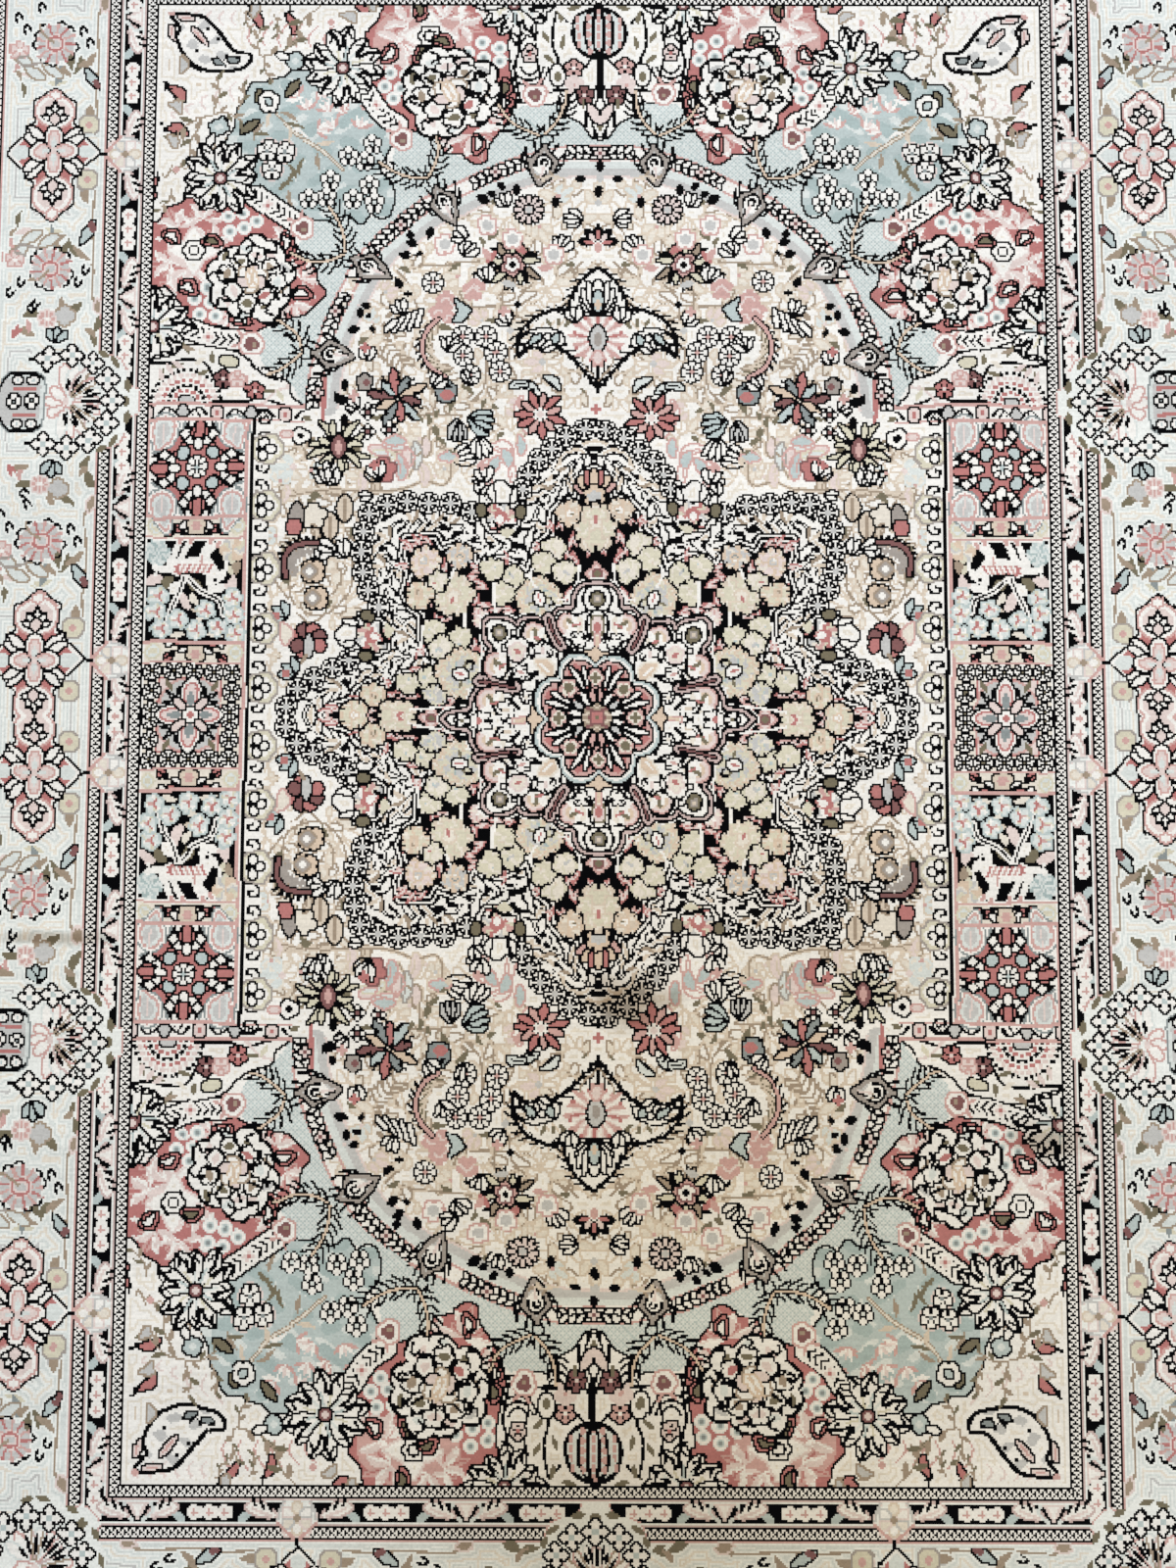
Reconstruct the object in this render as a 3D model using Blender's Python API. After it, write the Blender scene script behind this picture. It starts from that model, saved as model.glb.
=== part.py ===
"""A hand-knotted silk rug lying flat: one solid with its clipped pile, its overcast sides and its woven ends."""

import bmesh
import bpy
import numpy as np

# Driving dimensions, in metres. +Y runs along the warps, and the origin is in the middle of the underside.
WIDTH = 1.250
LENGTH = 1.790
PILE_TOP = 0.0050

# The overcast cord along each side: the threads bound round the outermost warps.
CORD_WIDTH = 0.0056
CORD_TOP = 0.0036
CORD_STEPS = 6

# The plain-woven web at each end, past the last row of knots.
WEB_LENGTH = 0.0100
WEB_TOP = 0.0016

# The outermost threads stand this high on the floor, and the pile's own edge leans in over this width.
RIM = 0.0007
GROOVE_TOP = 0.0018
PILE_SHOULDER = 0.0030
SHOULDER_STEPS = 3

# One soft crease runs from side to side, where the rug was once folded.
CREASE_Y = -0.212
CREASE_HALF_WIDTH = 0.014
CREASE_DEPTH = 0.0005
CREASE_STEPS = 6

# Longest stretch between two rows or columns of points on the flat pile.
PILE_STRETCH = 0.11

SILK_COLOUR = (0.60, 0.57, 0.52, 1.0)
SILK_ROUGHNESS = 0.62


def shoulder(start, low):
    """Points (distance in from the edge, height) where the pile rises from low and rounds over to its top."""
    turns = np.linspace(0, np.pi / 2, SHOULDER_STEPS + 1)
    return [(start + PILE_SHOULDER * (1 - np.cos(t)), low + (PILE_TOP - low) * np.sin(t)) for t in turns]


def side_profile():
    """Across the rug from its side: a half-round cord, a groove beside it, then the pile's edge."""
    turns = np.linspace(0, np.pi, CORD_STEPS + 1)
    half = CORD_WIDTH / 2
    outer = [(half * (1 - np.cos(t)), RIM + (CORD_TOP - RIM) * np.sin(t)) for t in turns[:-1]]
    return outer + shoulder(CORD_WIDTH, GROOVE_TOP)


def end_profile():
    """Along the rug from its end: the thin web, then the pile's edge."""
    return [(0.0, RIM), (RIM, WEB_TOP)] + shoulder(WEB_LENGTH, WEB_TOP)


def stations(profile, size, extra=()):
    """Where the lines of points lie along one axis: the edge's own places at both ends, and an even spread between."""
    edge = [distance for distance, _ in profile]
    inner = size - 2 * edge[-1]
    between = np.linspace(edge[-1], size - edge[-1], int(np.ceil(inner / PILE_STRETCH)) + 1)[1:-1]
    ends = edge + [size - distance for distance in edge]
    return np.array(sorted(ends + list(between) + [size / 2 + place for place in extra])) - size / 2


def edge_height(places, profile, size):
    """The profile's height at each place, read from the nearer edge."""
    distance, height = np.array(profile).T
    return np.interp(size / 2 - np.abs(places), distance, height)


def crease_depth(y):
    """How far the crease lowers the pile: a rounded trough that ends level on both sides."""
    reach = np.clip(np.abs(y - CREASE_Y) / CREASE_HALF_WIDTH, 0, 1)
    return CREASE_DEPTH * (1 + np.cos(np.pi * reach)) / 2


def sheet_mesh(name, x, y, top):
    """A closed sheet over the grid x by y: the given heights on top, the floor's level below, and upright walls."""
    bm = bmesh.new()
    upper = [[bm.verts.new((px, py, pz)) for px, pz in zip(x, row)] for py, row in zip(y, top)]
    lower = [[bm.verts.new((px, py, 0.0)) for px in x] for py in y]
    for j in range(len(y) - 1):
        for i in range(len(x) - 1):
            bm.faces.new((upper[j][i], upper[j][i + 1], upper[j + 1][i + 1], upper[j + 1][i]))
            bm.faces.new((lower[j][i], lower[j + 1][i], lower[j + 1][i + 1], lower[j][i + 1]))
    rim = [(0, i) for i in range(len(x))]
    rim += [(j, len(x) - 1) for j in range(1, len(y))]
    rim += [(len(y) - 1, i) for i in range(len(x) - 2, -1, -1)]
    rim += [(j, 0) for j in range(len(y) - 2, 0, -1)]
    for (j, i), (j2, i2) in zip(rim, rim[1:] + rim[:1]):
        bm.faces.new((upper[j][i], lower[j][i], lower[j2][i2], upper[j2][i2]))
    mesh = bpy.data.meshes.new(name)
    bm.to_mesh(mesh)
    bm.free()
    return mesh


def silk():
    """Pale silk pile, softly shiny."""
    material = bpy.data.materials.new("silk")
    material.use_nodes = True
    shader = material.node_tree.nodes["Principled BSDF"]
    shader.inputs["Base Color"].default_value = SILK_COLOUR
    shader.inputs["Roughness"].default_value = SILK_ROUGHNESS
    shader.inputs["Metallic"].default_value = 0.0
    return material


def make_rug():
    crease_rows = CREASE_Y + np.linspace(-CREASE_HALF_WIDTH, CREASE_HALF_WIDTH, CREASE_STEPS + 1)
    x = stations(side_profile(), WIDTH)
    y = stations(end_profile(), LENGTH, crease_rows)
    across = edge_height(x, side_profile(), WIDTH)
    along = edge_height(y, end_profile(), LENGTH)
    top = np.minimum(across[None, :], along[:, None])
    is_pile = np.isclose(top, PILE_TOP)
    top = top - np.where(is_pile, crease_depth(y)[:, None], 0.0)
    rug = bpy.data.objects.new("rug", sheet_mesh("rug", x, y, top))
    rug.data.materials.append(silk())
    rug.data.shade_smooth()
    rug.data.set_sharp_from_angle(angle=np.radians(40))
    bpy.context.collection.objects.link(rug)
    return rug


for leftover in list(bpy.data.objects):
    bpy.data.objects.remove(leftover, do_unlink=True)
make_rug()
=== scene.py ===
"""A hand-knotted silk rug lying flat: its knotting chart, the pile made from it, and its bound edges."""

import math

import bpy
import mathutils
import numpy as np
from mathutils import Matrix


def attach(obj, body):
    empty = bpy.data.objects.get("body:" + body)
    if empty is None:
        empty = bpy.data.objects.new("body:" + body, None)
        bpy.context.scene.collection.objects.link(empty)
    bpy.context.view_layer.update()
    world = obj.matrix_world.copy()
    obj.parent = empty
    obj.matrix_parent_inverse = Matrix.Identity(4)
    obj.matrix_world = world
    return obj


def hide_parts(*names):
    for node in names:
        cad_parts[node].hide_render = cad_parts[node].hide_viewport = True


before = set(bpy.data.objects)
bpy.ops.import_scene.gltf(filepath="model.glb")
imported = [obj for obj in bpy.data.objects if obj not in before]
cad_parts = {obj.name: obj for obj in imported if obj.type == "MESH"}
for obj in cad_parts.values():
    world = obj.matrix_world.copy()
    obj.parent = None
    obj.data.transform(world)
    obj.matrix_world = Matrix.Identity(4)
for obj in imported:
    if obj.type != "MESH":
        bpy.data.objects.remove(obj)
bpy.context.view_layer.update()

# The rug's sizes in metres, the same as the solid's. +Y runs along the warps.
WIDTH = 1.250
LENGTH = 1.790
PILE_TOP = 0.0050
CORD_WIDTH = 0.0056
CORD_TOP = 0.0036
WEB_LENGTH = 0.0100
WEB_TOP = 0.0016
RIM = 0.0007
GROOVE_TOP = 0.0018
PILE_SHOULDER = 0.0030
CREASE_Y = -0.212
CREASE_HALF_WIDTH = 0.014
CREASE_DEPTH = 0.0005

# The chart holds one quarter of the rug. Its knots are counted from the middle, across and along.
COLUMNS = 365
ROWS = 523
FIELD_X = 250
FIELD_Y = 408
END_SHIFT = FIELD_Y - FIELD_X      # the end borders repeat the side borders this much further out
KNOT_X = (WIDTH / 2 - CORD_WIDTH) / COLUMNS
KNOT_Y = (LENGTH / 2 - WEB_LENGTH) / ROWS

# Dyed silks of the pile, as sRGB out of 255.
YARNS = (
    ("ivory", (243, 241, 236)),
    ("cream", (231, 224, 211)),
    ("beige", (217, 203, 185)),
    ("tan", (163, 146, 127)),
    ("olive", (118, 110, 88)),
    ("taupe", (164, 156, 149)),
    ("grey", (198, 198, 196)),
    ("mist", (219, 225, 222)),
    ("sky", (188, 201, 200)),
    ("teal", (171, 188, 187)),
    ("slate", (141, 149, 149)),
    ("blush", (227, 211, 206)),
    ("pink", (207, 167, 161)),
    ("rose", (186, 121, 118)),
    ("mauve", (130, 87, 86)),
    ("black", (4, 4, 6)),
    ("sage", (216, 211, 189)),
    ("peach", (218, 197, 175)),
    ("pearl", (238, 241, 237)),
    ("dusty", (204, 182, 178)),
)
(IVORY, CREAM, BEIGE, TAN, OLIVE, TAUPE, GREY, MIST, SKY, TEAL, SLATE, BLUSH, PINK, ROSE, MAUVE, BLACK,
 SAGE, PEACH, PEARL, DUSTY) = range(len(YARNS))

# The ivory field's own yarns: scrolls and faint flowers are knotted only over these.
GROUNDS = (IVORY, CREAM, BEIGE, TAN)

# The pile is built in strips side by side. Each strip's texture coordinates keep a margin between its halves.
PILE_STRIPS = 5
BAKE_MARGIN = 0.004

# Levels, in metres above the floor, and the bound edges' threads.
BACK_LEVEL = 0.0001
UNDERSIDE = 0.0003
FOUNDATION_TOP = 0.0015
THREAD_PITCH = 0.0022
THREAD_GROOVE = 0.10
WARP_RIDGE = 0.0003

# How much the silk's tone varies from knot to knot, from row to row and in wide bands.
KNOT_TONE = 0.14
ROW_TONE = 0.30
BAND_TONE = 0.22

# Painted sheen: a tint of all the yarns along the rug, from its lower end (0) to its upper end (1), cooler
# towards its upper end, standing in for light reflected off the silk.
PAINTED_SHEEN_TINTS = ((0.0, (249, 247, 243)), (0.4, (250, 247, 242)), (0.58, (251, 249, 246)),
                (1.0, (246, 246, 246)))

# Where the yarns turn yellower and a little darker, over the lower middle: middle across, middle along, half
# width and half length (m).
YELLOWER_PLACE = (0.10, -0.62, 0.50, 0.62)
YELLOW_TINT = (238, 230, 214)

# Darker brown patches, the widest over the lower middle: middle across, middle along, half width, half length
# (m) and strength. Their rims are ragged.
PATCH_COLOUR = (176, 160, 140)
PATCH_RAGGED = 0.9
PATCH_REACH = 1.4
DARK_PATCHES = (
    (0.03, -0.262, 0.07, 0.045, 0.8),
    (0.41, -0.385, 0.055, 0.03, 0.7),
    (-0.50, -0.205, 0.10, 0.012, 0.6),
    (0.02, -0.72, 0.34, 0.16, 0.30),
)

# The silk's gloss, and its relief as bump strength and depth (m). Black silk shines less than the rest.
SILK_ROUGHNESS = 0.50
SILK_SPECULAR = 0.22
SILK_SHEEN = 0.06
SILK_BUMP = (0.5, 0.0004)
BLACK_SHINE = 0.12

# Noise scales in cells a metre: across the rug, along it, and through it.
ROW_SCALE = (9.0, 300.0, 1.0)
BAND_SCALE = (0.8, 14.0, 1.0)
PATCH_SCALE = (30.0, 60.0, 1.0)
TUFT_SCALE = (620.0, 620.0, 1.0)
CORD_SCALE = (300.0, 500.0, 300.0)
WEB_SCALE = (900.0, 300.0, 300.0)

# The undyed threads of the side cords and the end webs.
CORD_COLOUR = (226, 218, 200)
WEB_COLOUR = (228, 222, 206)
DUST_COLOUR = (214, 200, 182)
# The threads darken to this share of their colour where their bump is low: painted shade between the threads.
PAINTED_THREAD_SHADE = 0.72
THREAD_BUMP = (0.6, 0.0003)

# The pale floor, which reaches this far each way (m), and the soft light from all round.
FLOOR_REACH = 4.0
FLOOR_COLOUR = (226, 224, 220)
WORLD_COLOUR = (240, 244, 250)
WORLD_STRENGTH = 0.53

# The camera hangs over the rug (m), turned a little from straight down (degrees), with a 26 mm lens.
CAMERA_LENS = 26.0
CAMERA_PLACE = (-0.0067, -0.1231, 1.0523)
CAMERA_TURN = (3.345, 0.078, 0.149)

# Lamps: name, place, size (m) and energy (W).
LAMPS = (
    ("key", (0.1, 1.6, 2.7), 2.4, 54.0),
    ("fill", (0.7, -1.3, 2.8), 3.0, 24.0),
)


class Chart:
    """A knotting chart: the yarn of each knot, with x and y counted in knots from the rug's middle."""

    def __init__(self, yarns):
        self.yarns = yarns

    def fill(self, shape, yarn, edge=None, on=None):
        """Knots a shape in a yarn, or in a pattern of yarns, with a one-knot outline in the edge yarn."""
        x, y, reach, inside = shape
        rows, columns = self.yarns.shape
        x0, x1 = max(int(x - reach) - 2, 0), min(int(x + reach) + 4, columns)
        y0, y1 = max(int(y - reach) - 2, 0), min(int(y + reach) + 4, rows)
        if x0 >= x1 or y0 >= y1:
            return
        px, py = np.meshgrid(np.arange(x0, x1) + 0.5, np.arange(y0, y1) + 0.5)
        mask = inside(px, py)
        window = self.yarns[y0:y1, x0:x1]
        rim = grown(mask) & ~mask if edge is not None else None
        if on is not None:
            free = np.isin(window, on)
            mask = mask & free
            rim = rim & free if rim is not None else None
        window[mask] = yarn(px, py)[mask] if callable(yarn) else yarn
        if rim is not None:
            window[rim] = edge

    def line(self, points, yarn=BLACK, width=1.4, on=None):
        self.fill(ribbon(points, width), yarn, on=on)

    def curve(self, points, yarn=BLACK, width=1.4, on=None):
        self.fill(ribbon(smooth(points), width), yarn, on=on)


def grown(mask):
    """The mask with one more knot all round, at its corners too."""
    out = mask.copy()
    out[1:] |= mask[:-1]
    out[:-1] |= mask[1:]
    wide = out.copy()
    wide[:, 1:] |= out[:, :-1]
    wide[:, :-1] |= out[:, 1:]
    return wide


def turned(x, y, turn):
    """Distances along and across a direction given in degrees, from the width towards the length."""
    angle = np.radians(turn)
    return x * np.cos(angle) + y * np.sin(angle), y * np.cos(angle) - x * np.sin(angle)


def step(x, y, turn, length):
    """The place a length away in a direction."""
    angle = np.radians(turn)
    return x + length * np.cos(angle), y + length * np.sin(angle)


def disc(x, y, radius):
    return x, y, radius, lambda px, py: (px - x) ** 2 + (py - y) ** 2 <= radius ** 2


def ring(x, y, radius, width):
    return x, y, radius + width, lambda px, py: np.abs(np.hypot(px - x, py - y) - radius) <= width / 2


def oval(x, y, long, wide, turn=0):
    def inside(px, py):
        along, across = turned(px - x, py - y, turn)
        return (along / long) ** 2 + (across / wide) ** 2 <= 1
    return x, y, max(long, wide), inside


def leaf(x, y, length, width, turn, bend=0.0, belly=1.0):
    """A pointed leaf from its stalk end; belly over 1 puts its widest place nearer the tip."""
    def inside(px, py):
        along, across = turned(px - x, py - y, turn)
        part = np.clip(along / length, 0, 1)
        half = width / 2 * np.sin(np.pi * part ** belly) ** 0.8
        return (along >= 0) & (along <= length) & (np.abs(across - bend * np.sin(np.pi * part)) <= half)
    return x, y, length + abs(bend), inside


def lobed(x, y, radius, lobes, depth=0.3, turn=90, sharp=False):
    """A flower's outline: round lobes, or sharp ones that end in points."""
    def inside(px, py):
        half_turns = lobes * (np.arctan2(py - y, px - x) - np.radians(turn)) / 2
        wave = 1 - np.abs(np.sin(half_turns)) if sharp else np.abs(np.cos(half_turns)) ** 0.7
        return np.hypot(px - x, py - y) <= radius * (1 - depth + depth * wave)
    return x, y, radius, inside


def polygon(points):
    p = np.array(points, float)
    middle = (p.min(0) + p.max(0)) / 2

    def inside(px, py):
        hit = np.zeros(px.shape, bool)
        for (x0, y0), (x1, y1) in zip(p, np.roll(p, -1, 0)):
            if y0 != y1:
                hit ^= ((y0 > py) != (y1 > py)) & (px < (x1 - x0) * (py - y0) / (y1 - y0) + x0)
        return hit
    return middle[0], middle[1], (p.max(0) - p.min(0)).max() / 2, inside


def beside(points, px, py):
    """How far each place is from a path, and how far along the path the nearest point of it lies."""
    p = np.array(points, float)
    away = np.full(px.shape, np.inf)
    place = np.zeros(px.shape)
    run = 0.0
    for (x0, y0), (x1, y1) in zip(p[:-1], p[1:]):
        dx, dy = x1 - x0, y1 - y0
        length = max(math.hypot(dx, dy), 1e-9)
        part = np.clip(((px - x0) * dx + (py - y0) * dy) / length ** 2, 0, 1)
        here = np.hypot(px - x0 - part * dx, py - y0 - part * dy)
        place = np.where(here < away, run + part * length, place)
        away = np.minimum(away, here)
        run += length
    return away, place


def ribbon(points, width):
    p = np.array(points, float)
    middle = (p.min(0) + p.max(0)) / 2

    def inside(px, py):
        return beside(p, px, py)[0] <= width / 2
    return middle[0], middle[1], (p.max(0) - p.min(0)).max() / 2 + width, inside


def smooth(points, closed=False, parts=5):
    """A rounded path through the points."""
    p = np.array(points, float)
    p = np.vstack([p[-1], p, p[:2]]) if closed else np.vstack([2 * p[0] - p[1], p, 2 * p[-1] - p[-2]])
    out = []
    for a, b, c, d in zip(p, p[1:], p[2:], p[3:]):
        for t in np.arange(parts) / parts:
            out.append(0.5 * (2 * b + (c - a) * t + (2 * a - 5 * b + 4 * c - d) * t ** 2
                              + (3 * b - a - 3 * c + d) * t ** 3))
    return out if closed else out + [p[-2]]


def along(points, gap, start=0.0):
    """Places at even gaps along a path, each with the path's direction there in degrees."""
    p = np.array(points, float)
    lengths = np.hypot(*np.diff(p, axis=0).T)
    total = np.concatenate([[0], np.cumsum(lengths)])
    places = []
    for s in np.arange(start, total[-1], gap):
        k = min(np.searchsorted(total, s, side="right") - 1, len(lengths) - 1)
        part = (s - total[k]) / max(lengths[k], 1e-9)
        x, y = p[k] + part * (p[k + 1] - p[k])
        dx, dy = p[k + 1] - p[k]
        places.append((x, y, np.degrees(np.arctan2(dy, dx))))
    return places


def diamonds(ground, lines, pitch=4):
    """A fine diagonal net."""
    def pattern(px, py):
        column, row = np.floor(px).astype(int), np.floor(py).astype(int)
        return np.where(((column + row) % pitch == 0) | ((column - row) % pitch == 0), lines, ground)
    return pattern


def mottled(ground, patch, coarse=0.5, share=0.7):
    """Soft uneven patches of a second yarn."""
    def pattern(px, py):
        wave = np.sin(px * coarse + 2 * np.sin(py * coarse * 0.5))
        wave = wave + np.sin(py * coarse * 1.3 + px * coarse * 0.4)
        return np.where(wave > share, patch, ground)
    return pattern


ROSETTE = (
    "....XXX",
    "..XXXoo",
    ".XooXoo",
    ".XoooXo",
    "XXXooXo",
    "XooXXXe",
    "Xooooee",
)
THORNED = (
    "....XXX",
    "..XXXoo",
    ".XooXXo",
    ".XoXXXo",
    "XXXXoXo",
    "XoXXXee",
    "Xooooee",
)
QUATREFOIL = (
    "......XX",
    ".....XXo",
    "....XXoo",
    "....Xooo",
    "..XXXXoo",
    ".XXoXXoo",
    "XXooooee",
    "Xoooooee",
)
FRAME_FLORET = (
    "...XXX",
    ".XXXoo",
    ".XoXXo",
    "XXXoXo",
    "XoXXXX",
    "XoooXe",
)
PLAQUE_FLORET = (
    "..XXX",
    ".XXoo",
    "XXXoo",
    "XooXX",
    "XooXe",
)


def ragged(x, y, radius, lobes=9, depth=0.16):
    """A full flower's outline, with shallow lobes that aren't quite even."""
    def inside(px, py):
        angle = np.arctan2(py - y, px - x)
        wave = np.abs(np.cos(lobes * angle / 2 + x)) ** 0.6
        uneven = 0.05 * np.sin(3 * angle + y) + 0.04 * np.sin(5 * angle + x)
        return np.hypot(px - x, py - y) <= radius * (1 - depth + depth * wave + uneven)
    return x, y, radius * 1.1, inside


def rays(x, y, yarns, count):
    """Streaks of yarn that run out from a flower's middle."""
    def pattern(px, py):
        bow = 0.16 * np.sin(np.hypot(px - x, py - y) * 1.1)
        part = (np.arctan2(py - y, px - x) + bow) / (2 * np.pi) * count
        return np.array(yarns)[np.floor(part).astype(int) % len(yarns)]
    return pattern


def leafage(chart, shape, path, depth=9.0, pitch=4.8):
    """Rows of slender edged leaves beside a path, each row leaning the other way from the one before."""
    def pattern(px, py):
        away, place = beside(path, px, py)
        row = np.floor(away / depth)
        part = away / depth - row
        lean = np.where(row % 2 == 0, 1, -1)
        wander = 1.0 * np.sin(place * 0.16 + row * 2.1) + 0.7 * np.sin(away * 0.5 + place * 0.3)
        shifted = place + lean * part * depth * 0.85 + row * pitch * 0.4 + wander
        across = np.abs((shifted / pitch) % 1 - 0.5) * pitch
        half = (pitch / 2 - 0.1) * np.sin(np.pi * (0.1 + 0.9 * part)) ** 0.5
        number = (np.floor(shifted / pitch) * 3 + row * 5) % 7
        fill = np.where((across < 0.8) & (number % 3 == 2) & (part > 0.15) & (part < 0.85), BEIGE, IVORY)
        edge = np.where((row > 1) & (number == 1), BEIGE, BLACK)
        return np.where(np.abs(across - half) < 0.58, edge, fill)
    chart.fill(shape, pattern)


def stamp(chart, x, y, quarter, eye, petal=IVORY, edge=BLACK):
    """Knots a small flower from its given chart: X is its edge, o its petals, e its eye, mirrored both ways.
    """
    yarns = {"X": edge, "o": petal, "e": eye}
    knots = [row + row[-2::-1] for row in quarter]
    knots += knots[-2::-1]
    rows, columns = chart.yarns.shape
    first_row, first_column = int(y) - len(quarter) + 1, int(x) - len(quarter[0]) + 1
    for row, letters in enumerate(knots, first_row):
        for column, letter in enumerate(letters, first_column):
            if letter != "." and 0 <= row < rows and 0 <= column < columns:
                chart.yarns[row, column] = yarns[letter]


def floret(chart, x, y, radius, petals=5, petal=IVORY, eye=ROSE, edge=BLACK, turn=90, depth=0.4):
    """A small open flower with round petals and an eye."""
    chart.fill(lobed(x, y, radius, petals, depth, turn), petal, edge)
    for k in range(petals):
        a = turn + (k + 0.5) * 360 / petals
        chart.line([step(x, y, a, radius * 0.35), step(x, y, a, radius * 0.7)], edge, 1.0)
    chart.fill(disc(x, y, radius * 0.28), eye)


def blossom(chart, x, y, radius, petals, outer, inner, eye, speck, turn=90):
    """A full flower on dark ground: shallow ragged lobes, faint rays and a small eye off its middle."""
    lobes = max(petals, int(radius * 1.1))
    chart.fill(ragged(x, y, radius + 1.4, lobes), BLACK)
    chart.fill(ragged(x, y, radius + 0.2, lobes),
               rays(x, y, (outer, inner, outer, CREAM, outer), lobes * 3))
    chart.fill(ragged(x, y, radius * 0.76, lobes - 1),
               rays(x, y, (inner, inner, outer, inner, CREAM, inner), lobes * 2))
    for k in range(0, lobes, 2):
        a = turn + (k + 0.5) * 360 / lobes
        chart.line([step(x, y, a, radius * 0.86), step(x, y, a, radius * 1.1)], BLACK, 1.2)
    place = step(x, y, turn + 7 * x, radius * 0.12)
    if radius > 6.8:
        chart.fill(lobed(*place, radius * 0.27, 5, 0.3, turn), eye, outer)
        chart.line([place, step(*place, turn + 7 * x, radius * 0.3)], ROSE if radius > 9 else BEIGE, 1.5)
    else:
        chart.fill(leaf(*step(*place, 40, -radius * 0.4), radius * 0.8, 1.8, 40), eye)
    chart.fill(disc(*step(*place, turn + 7 * x, 1.5), max(0.8, radius * 0.11)), speck)


def great_blossom(chart, x, y, radius, turn):
    """A large ragged flower, peach at its rim and grey within, with a black and ivory leaf for its eye."""
    chart.fill(ragged(x, y, radius + 1.4, 19, 0.12), BLACK)
    chart.fill(ragged(x, y, radius + 0.2, 19, 0.14), rays(x, y, (PEACH, CREAM, PEACH, SAGE, BEIGE), 46))
    chart.fill(ragged(x, y, radius * 0.8, 15, 0.2), rays(x, y, (SAGE, PEACH, SAGE, GREY, SAGE), 31))
    chart.fill(ragged(x, y, radius * 0.6, 9, 0.24), mottled(SAGE, GREY, 0.9, 0.1))
    for k in range(7):
        a = turn + k * 51
        chart.line([step(x, y, a, radius * 0.3), step(x, y, a + 6, radius * 0.52)],
                   (GREY, TEAL, OLIVE)[k % 3], 1.3)
    chart.fill(leaf(*step(x, y, turn, -radius * 0.34), radius * 0.68, radius * 0.44, turn), IVORY, BLACK)
    chart.line([step(x, y, turn, -radius * 0.14), step(x, y, turn, radius * 0.16)], ROSE, 1.2)
    chart.curve([step(x, y, turn + 110, radius * 0.5), step(x, y, turn + 130, radius * 0.66),
                 step(x, y, turn + 146, radius * 0.5)], BLACK, 1.5)


def star_flower(chart, x, y, radius, turn, petals=12):
    """A wide flower of pointed ivory petals, with hooked black edges and pale blue streaks round its eye."""
    for k in range(petals):
        a = turn + k * 360 / petals
        side = 1 if k % 2 else -1
        long = radius * (1.0, 0.84, 0.94)[k % 3]
        chart.fill(leaf(*step(x, y, a, radius * 0.12), long * 0.88, radius * 0.38, a,
                        bend=side * radius * 0.05, belly=1.3), IVORY, BLACK)
    for k in range(petals):
        a = turn + k * 360 / petals
        side = 1 if k % 2 else -1
        long = radius * (1.0, 0.84, 0.94)[k % 3]
        chart.line([step(x, y, a + side * 10, long * 0.48), step(x, y, a + side * 9, long * 0.7),
                    step(x, y, a, long)], BLACK, 2.0)
        root = step(x, y, a - side * 7, long * 0.72)
        chart.line([root, step(*root, a + side * 40, radius * 0.13)], BLACK, 1.5)
        chart.line([step(x, y, a, radius * 0.22), step(x, y, a + 3, radius * (0.5, 0.42)[k % 2])],
                   (SKY, MIST, SAGE)[k % 3], 1.2)
    chart.fill(lobed(x, y, radius * 0.22, 6, 0.3, turn), MIST)
    chart.fill(disc(x, y, radius * 0.14), MAUVE, BLACK)
    for across in (0, 90):
        chart.line([step(x, y, across, radius * 0.1), step(x, y, across, -radius * 0.1)], BLUSH, 1.0)


def cabbage_rose(chart, x, y, radius, turn):
    """A full rose: broken petals with heavy edges and small coloured patches, round a slanting heart."""
    chart.fill(ragged(x, y, radius * 1.04, 9, 0.14), BLACK)
    chart.fill(ragged(x, y, radius * 0.97, 9, 0.16), IVORY)
    for k in range(9):
        a = turn + 40 * k
        place = step(x, y, a, radius * (0.76, 0.82, 0.72)[k % 3])
        chart.fill(leaf(*place, radius * 0.3, radius * 0.16, a + (70, 120, 95)[k % 3], bend=1),
                   (OLIVE, MIST, BLUSH, GREY, TAN)[k % 5])
        chart.curve([step(x, y, a + 12, radius * 0.98), step(x, y, a + 20, radius * 0.84),
                     step(x, y, a + 8, radius * 0.74)], BLACK, 1.5)
    for k in range(8):
        a = turn + 25 + 45 * k
        place = step(x, y, a, radius * (0.5, 0.58)[k % 2])
        chart.fill(ragged(*place, radius * 0.25, 5, 0.3), BLACK)
        chart.fill(ragged(*place, radius * 0.19, 5, 0.3), IVORY)
        chart.fill(leaf(*step(*place, a + 90, -radius * 0.14), radius * 0.28, radius * 0.16, a + 95),
                   (OLIVE, BLUSH, TAN, MIST, ROSE)[k % 5])
    for k in range(7):
        a = turn + 51 * k
        chart.curve([step(x, y, a, radius * 0.32), step(x, y, a + 16, radius * 0.4),
                     step(x, y, a + 20, radius * 0.62)], BLACK, 1.7)
        chart.fill(leaf(*step(x, y, a + 30, radius * 0.62), radius * 0.22, radius * 0.1, a + 60), BLACK)
    for k in range(6):
        a = turn + 60 * k
        chart.fill(oval(*step(x, y, a, radius * 0.22), radius * 0.15, radius * 0.09, a + 60),
                   (IVORY, BLUSH)[k % 2], (TAN, BLACK)[k % 2])
    chart.fill(oval(x, y, radius * 0.22, radius * 0.1, turn + 50), IVORY, PEACH)
    for side in (-1, 1):
        chart.line([step(x, y, turn + 50 + side * 12, -radius * 0.16),
                    step(x, y, turn + 50 + side * 12, radius * 0.3)], PEACH, 1.2)


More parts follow.
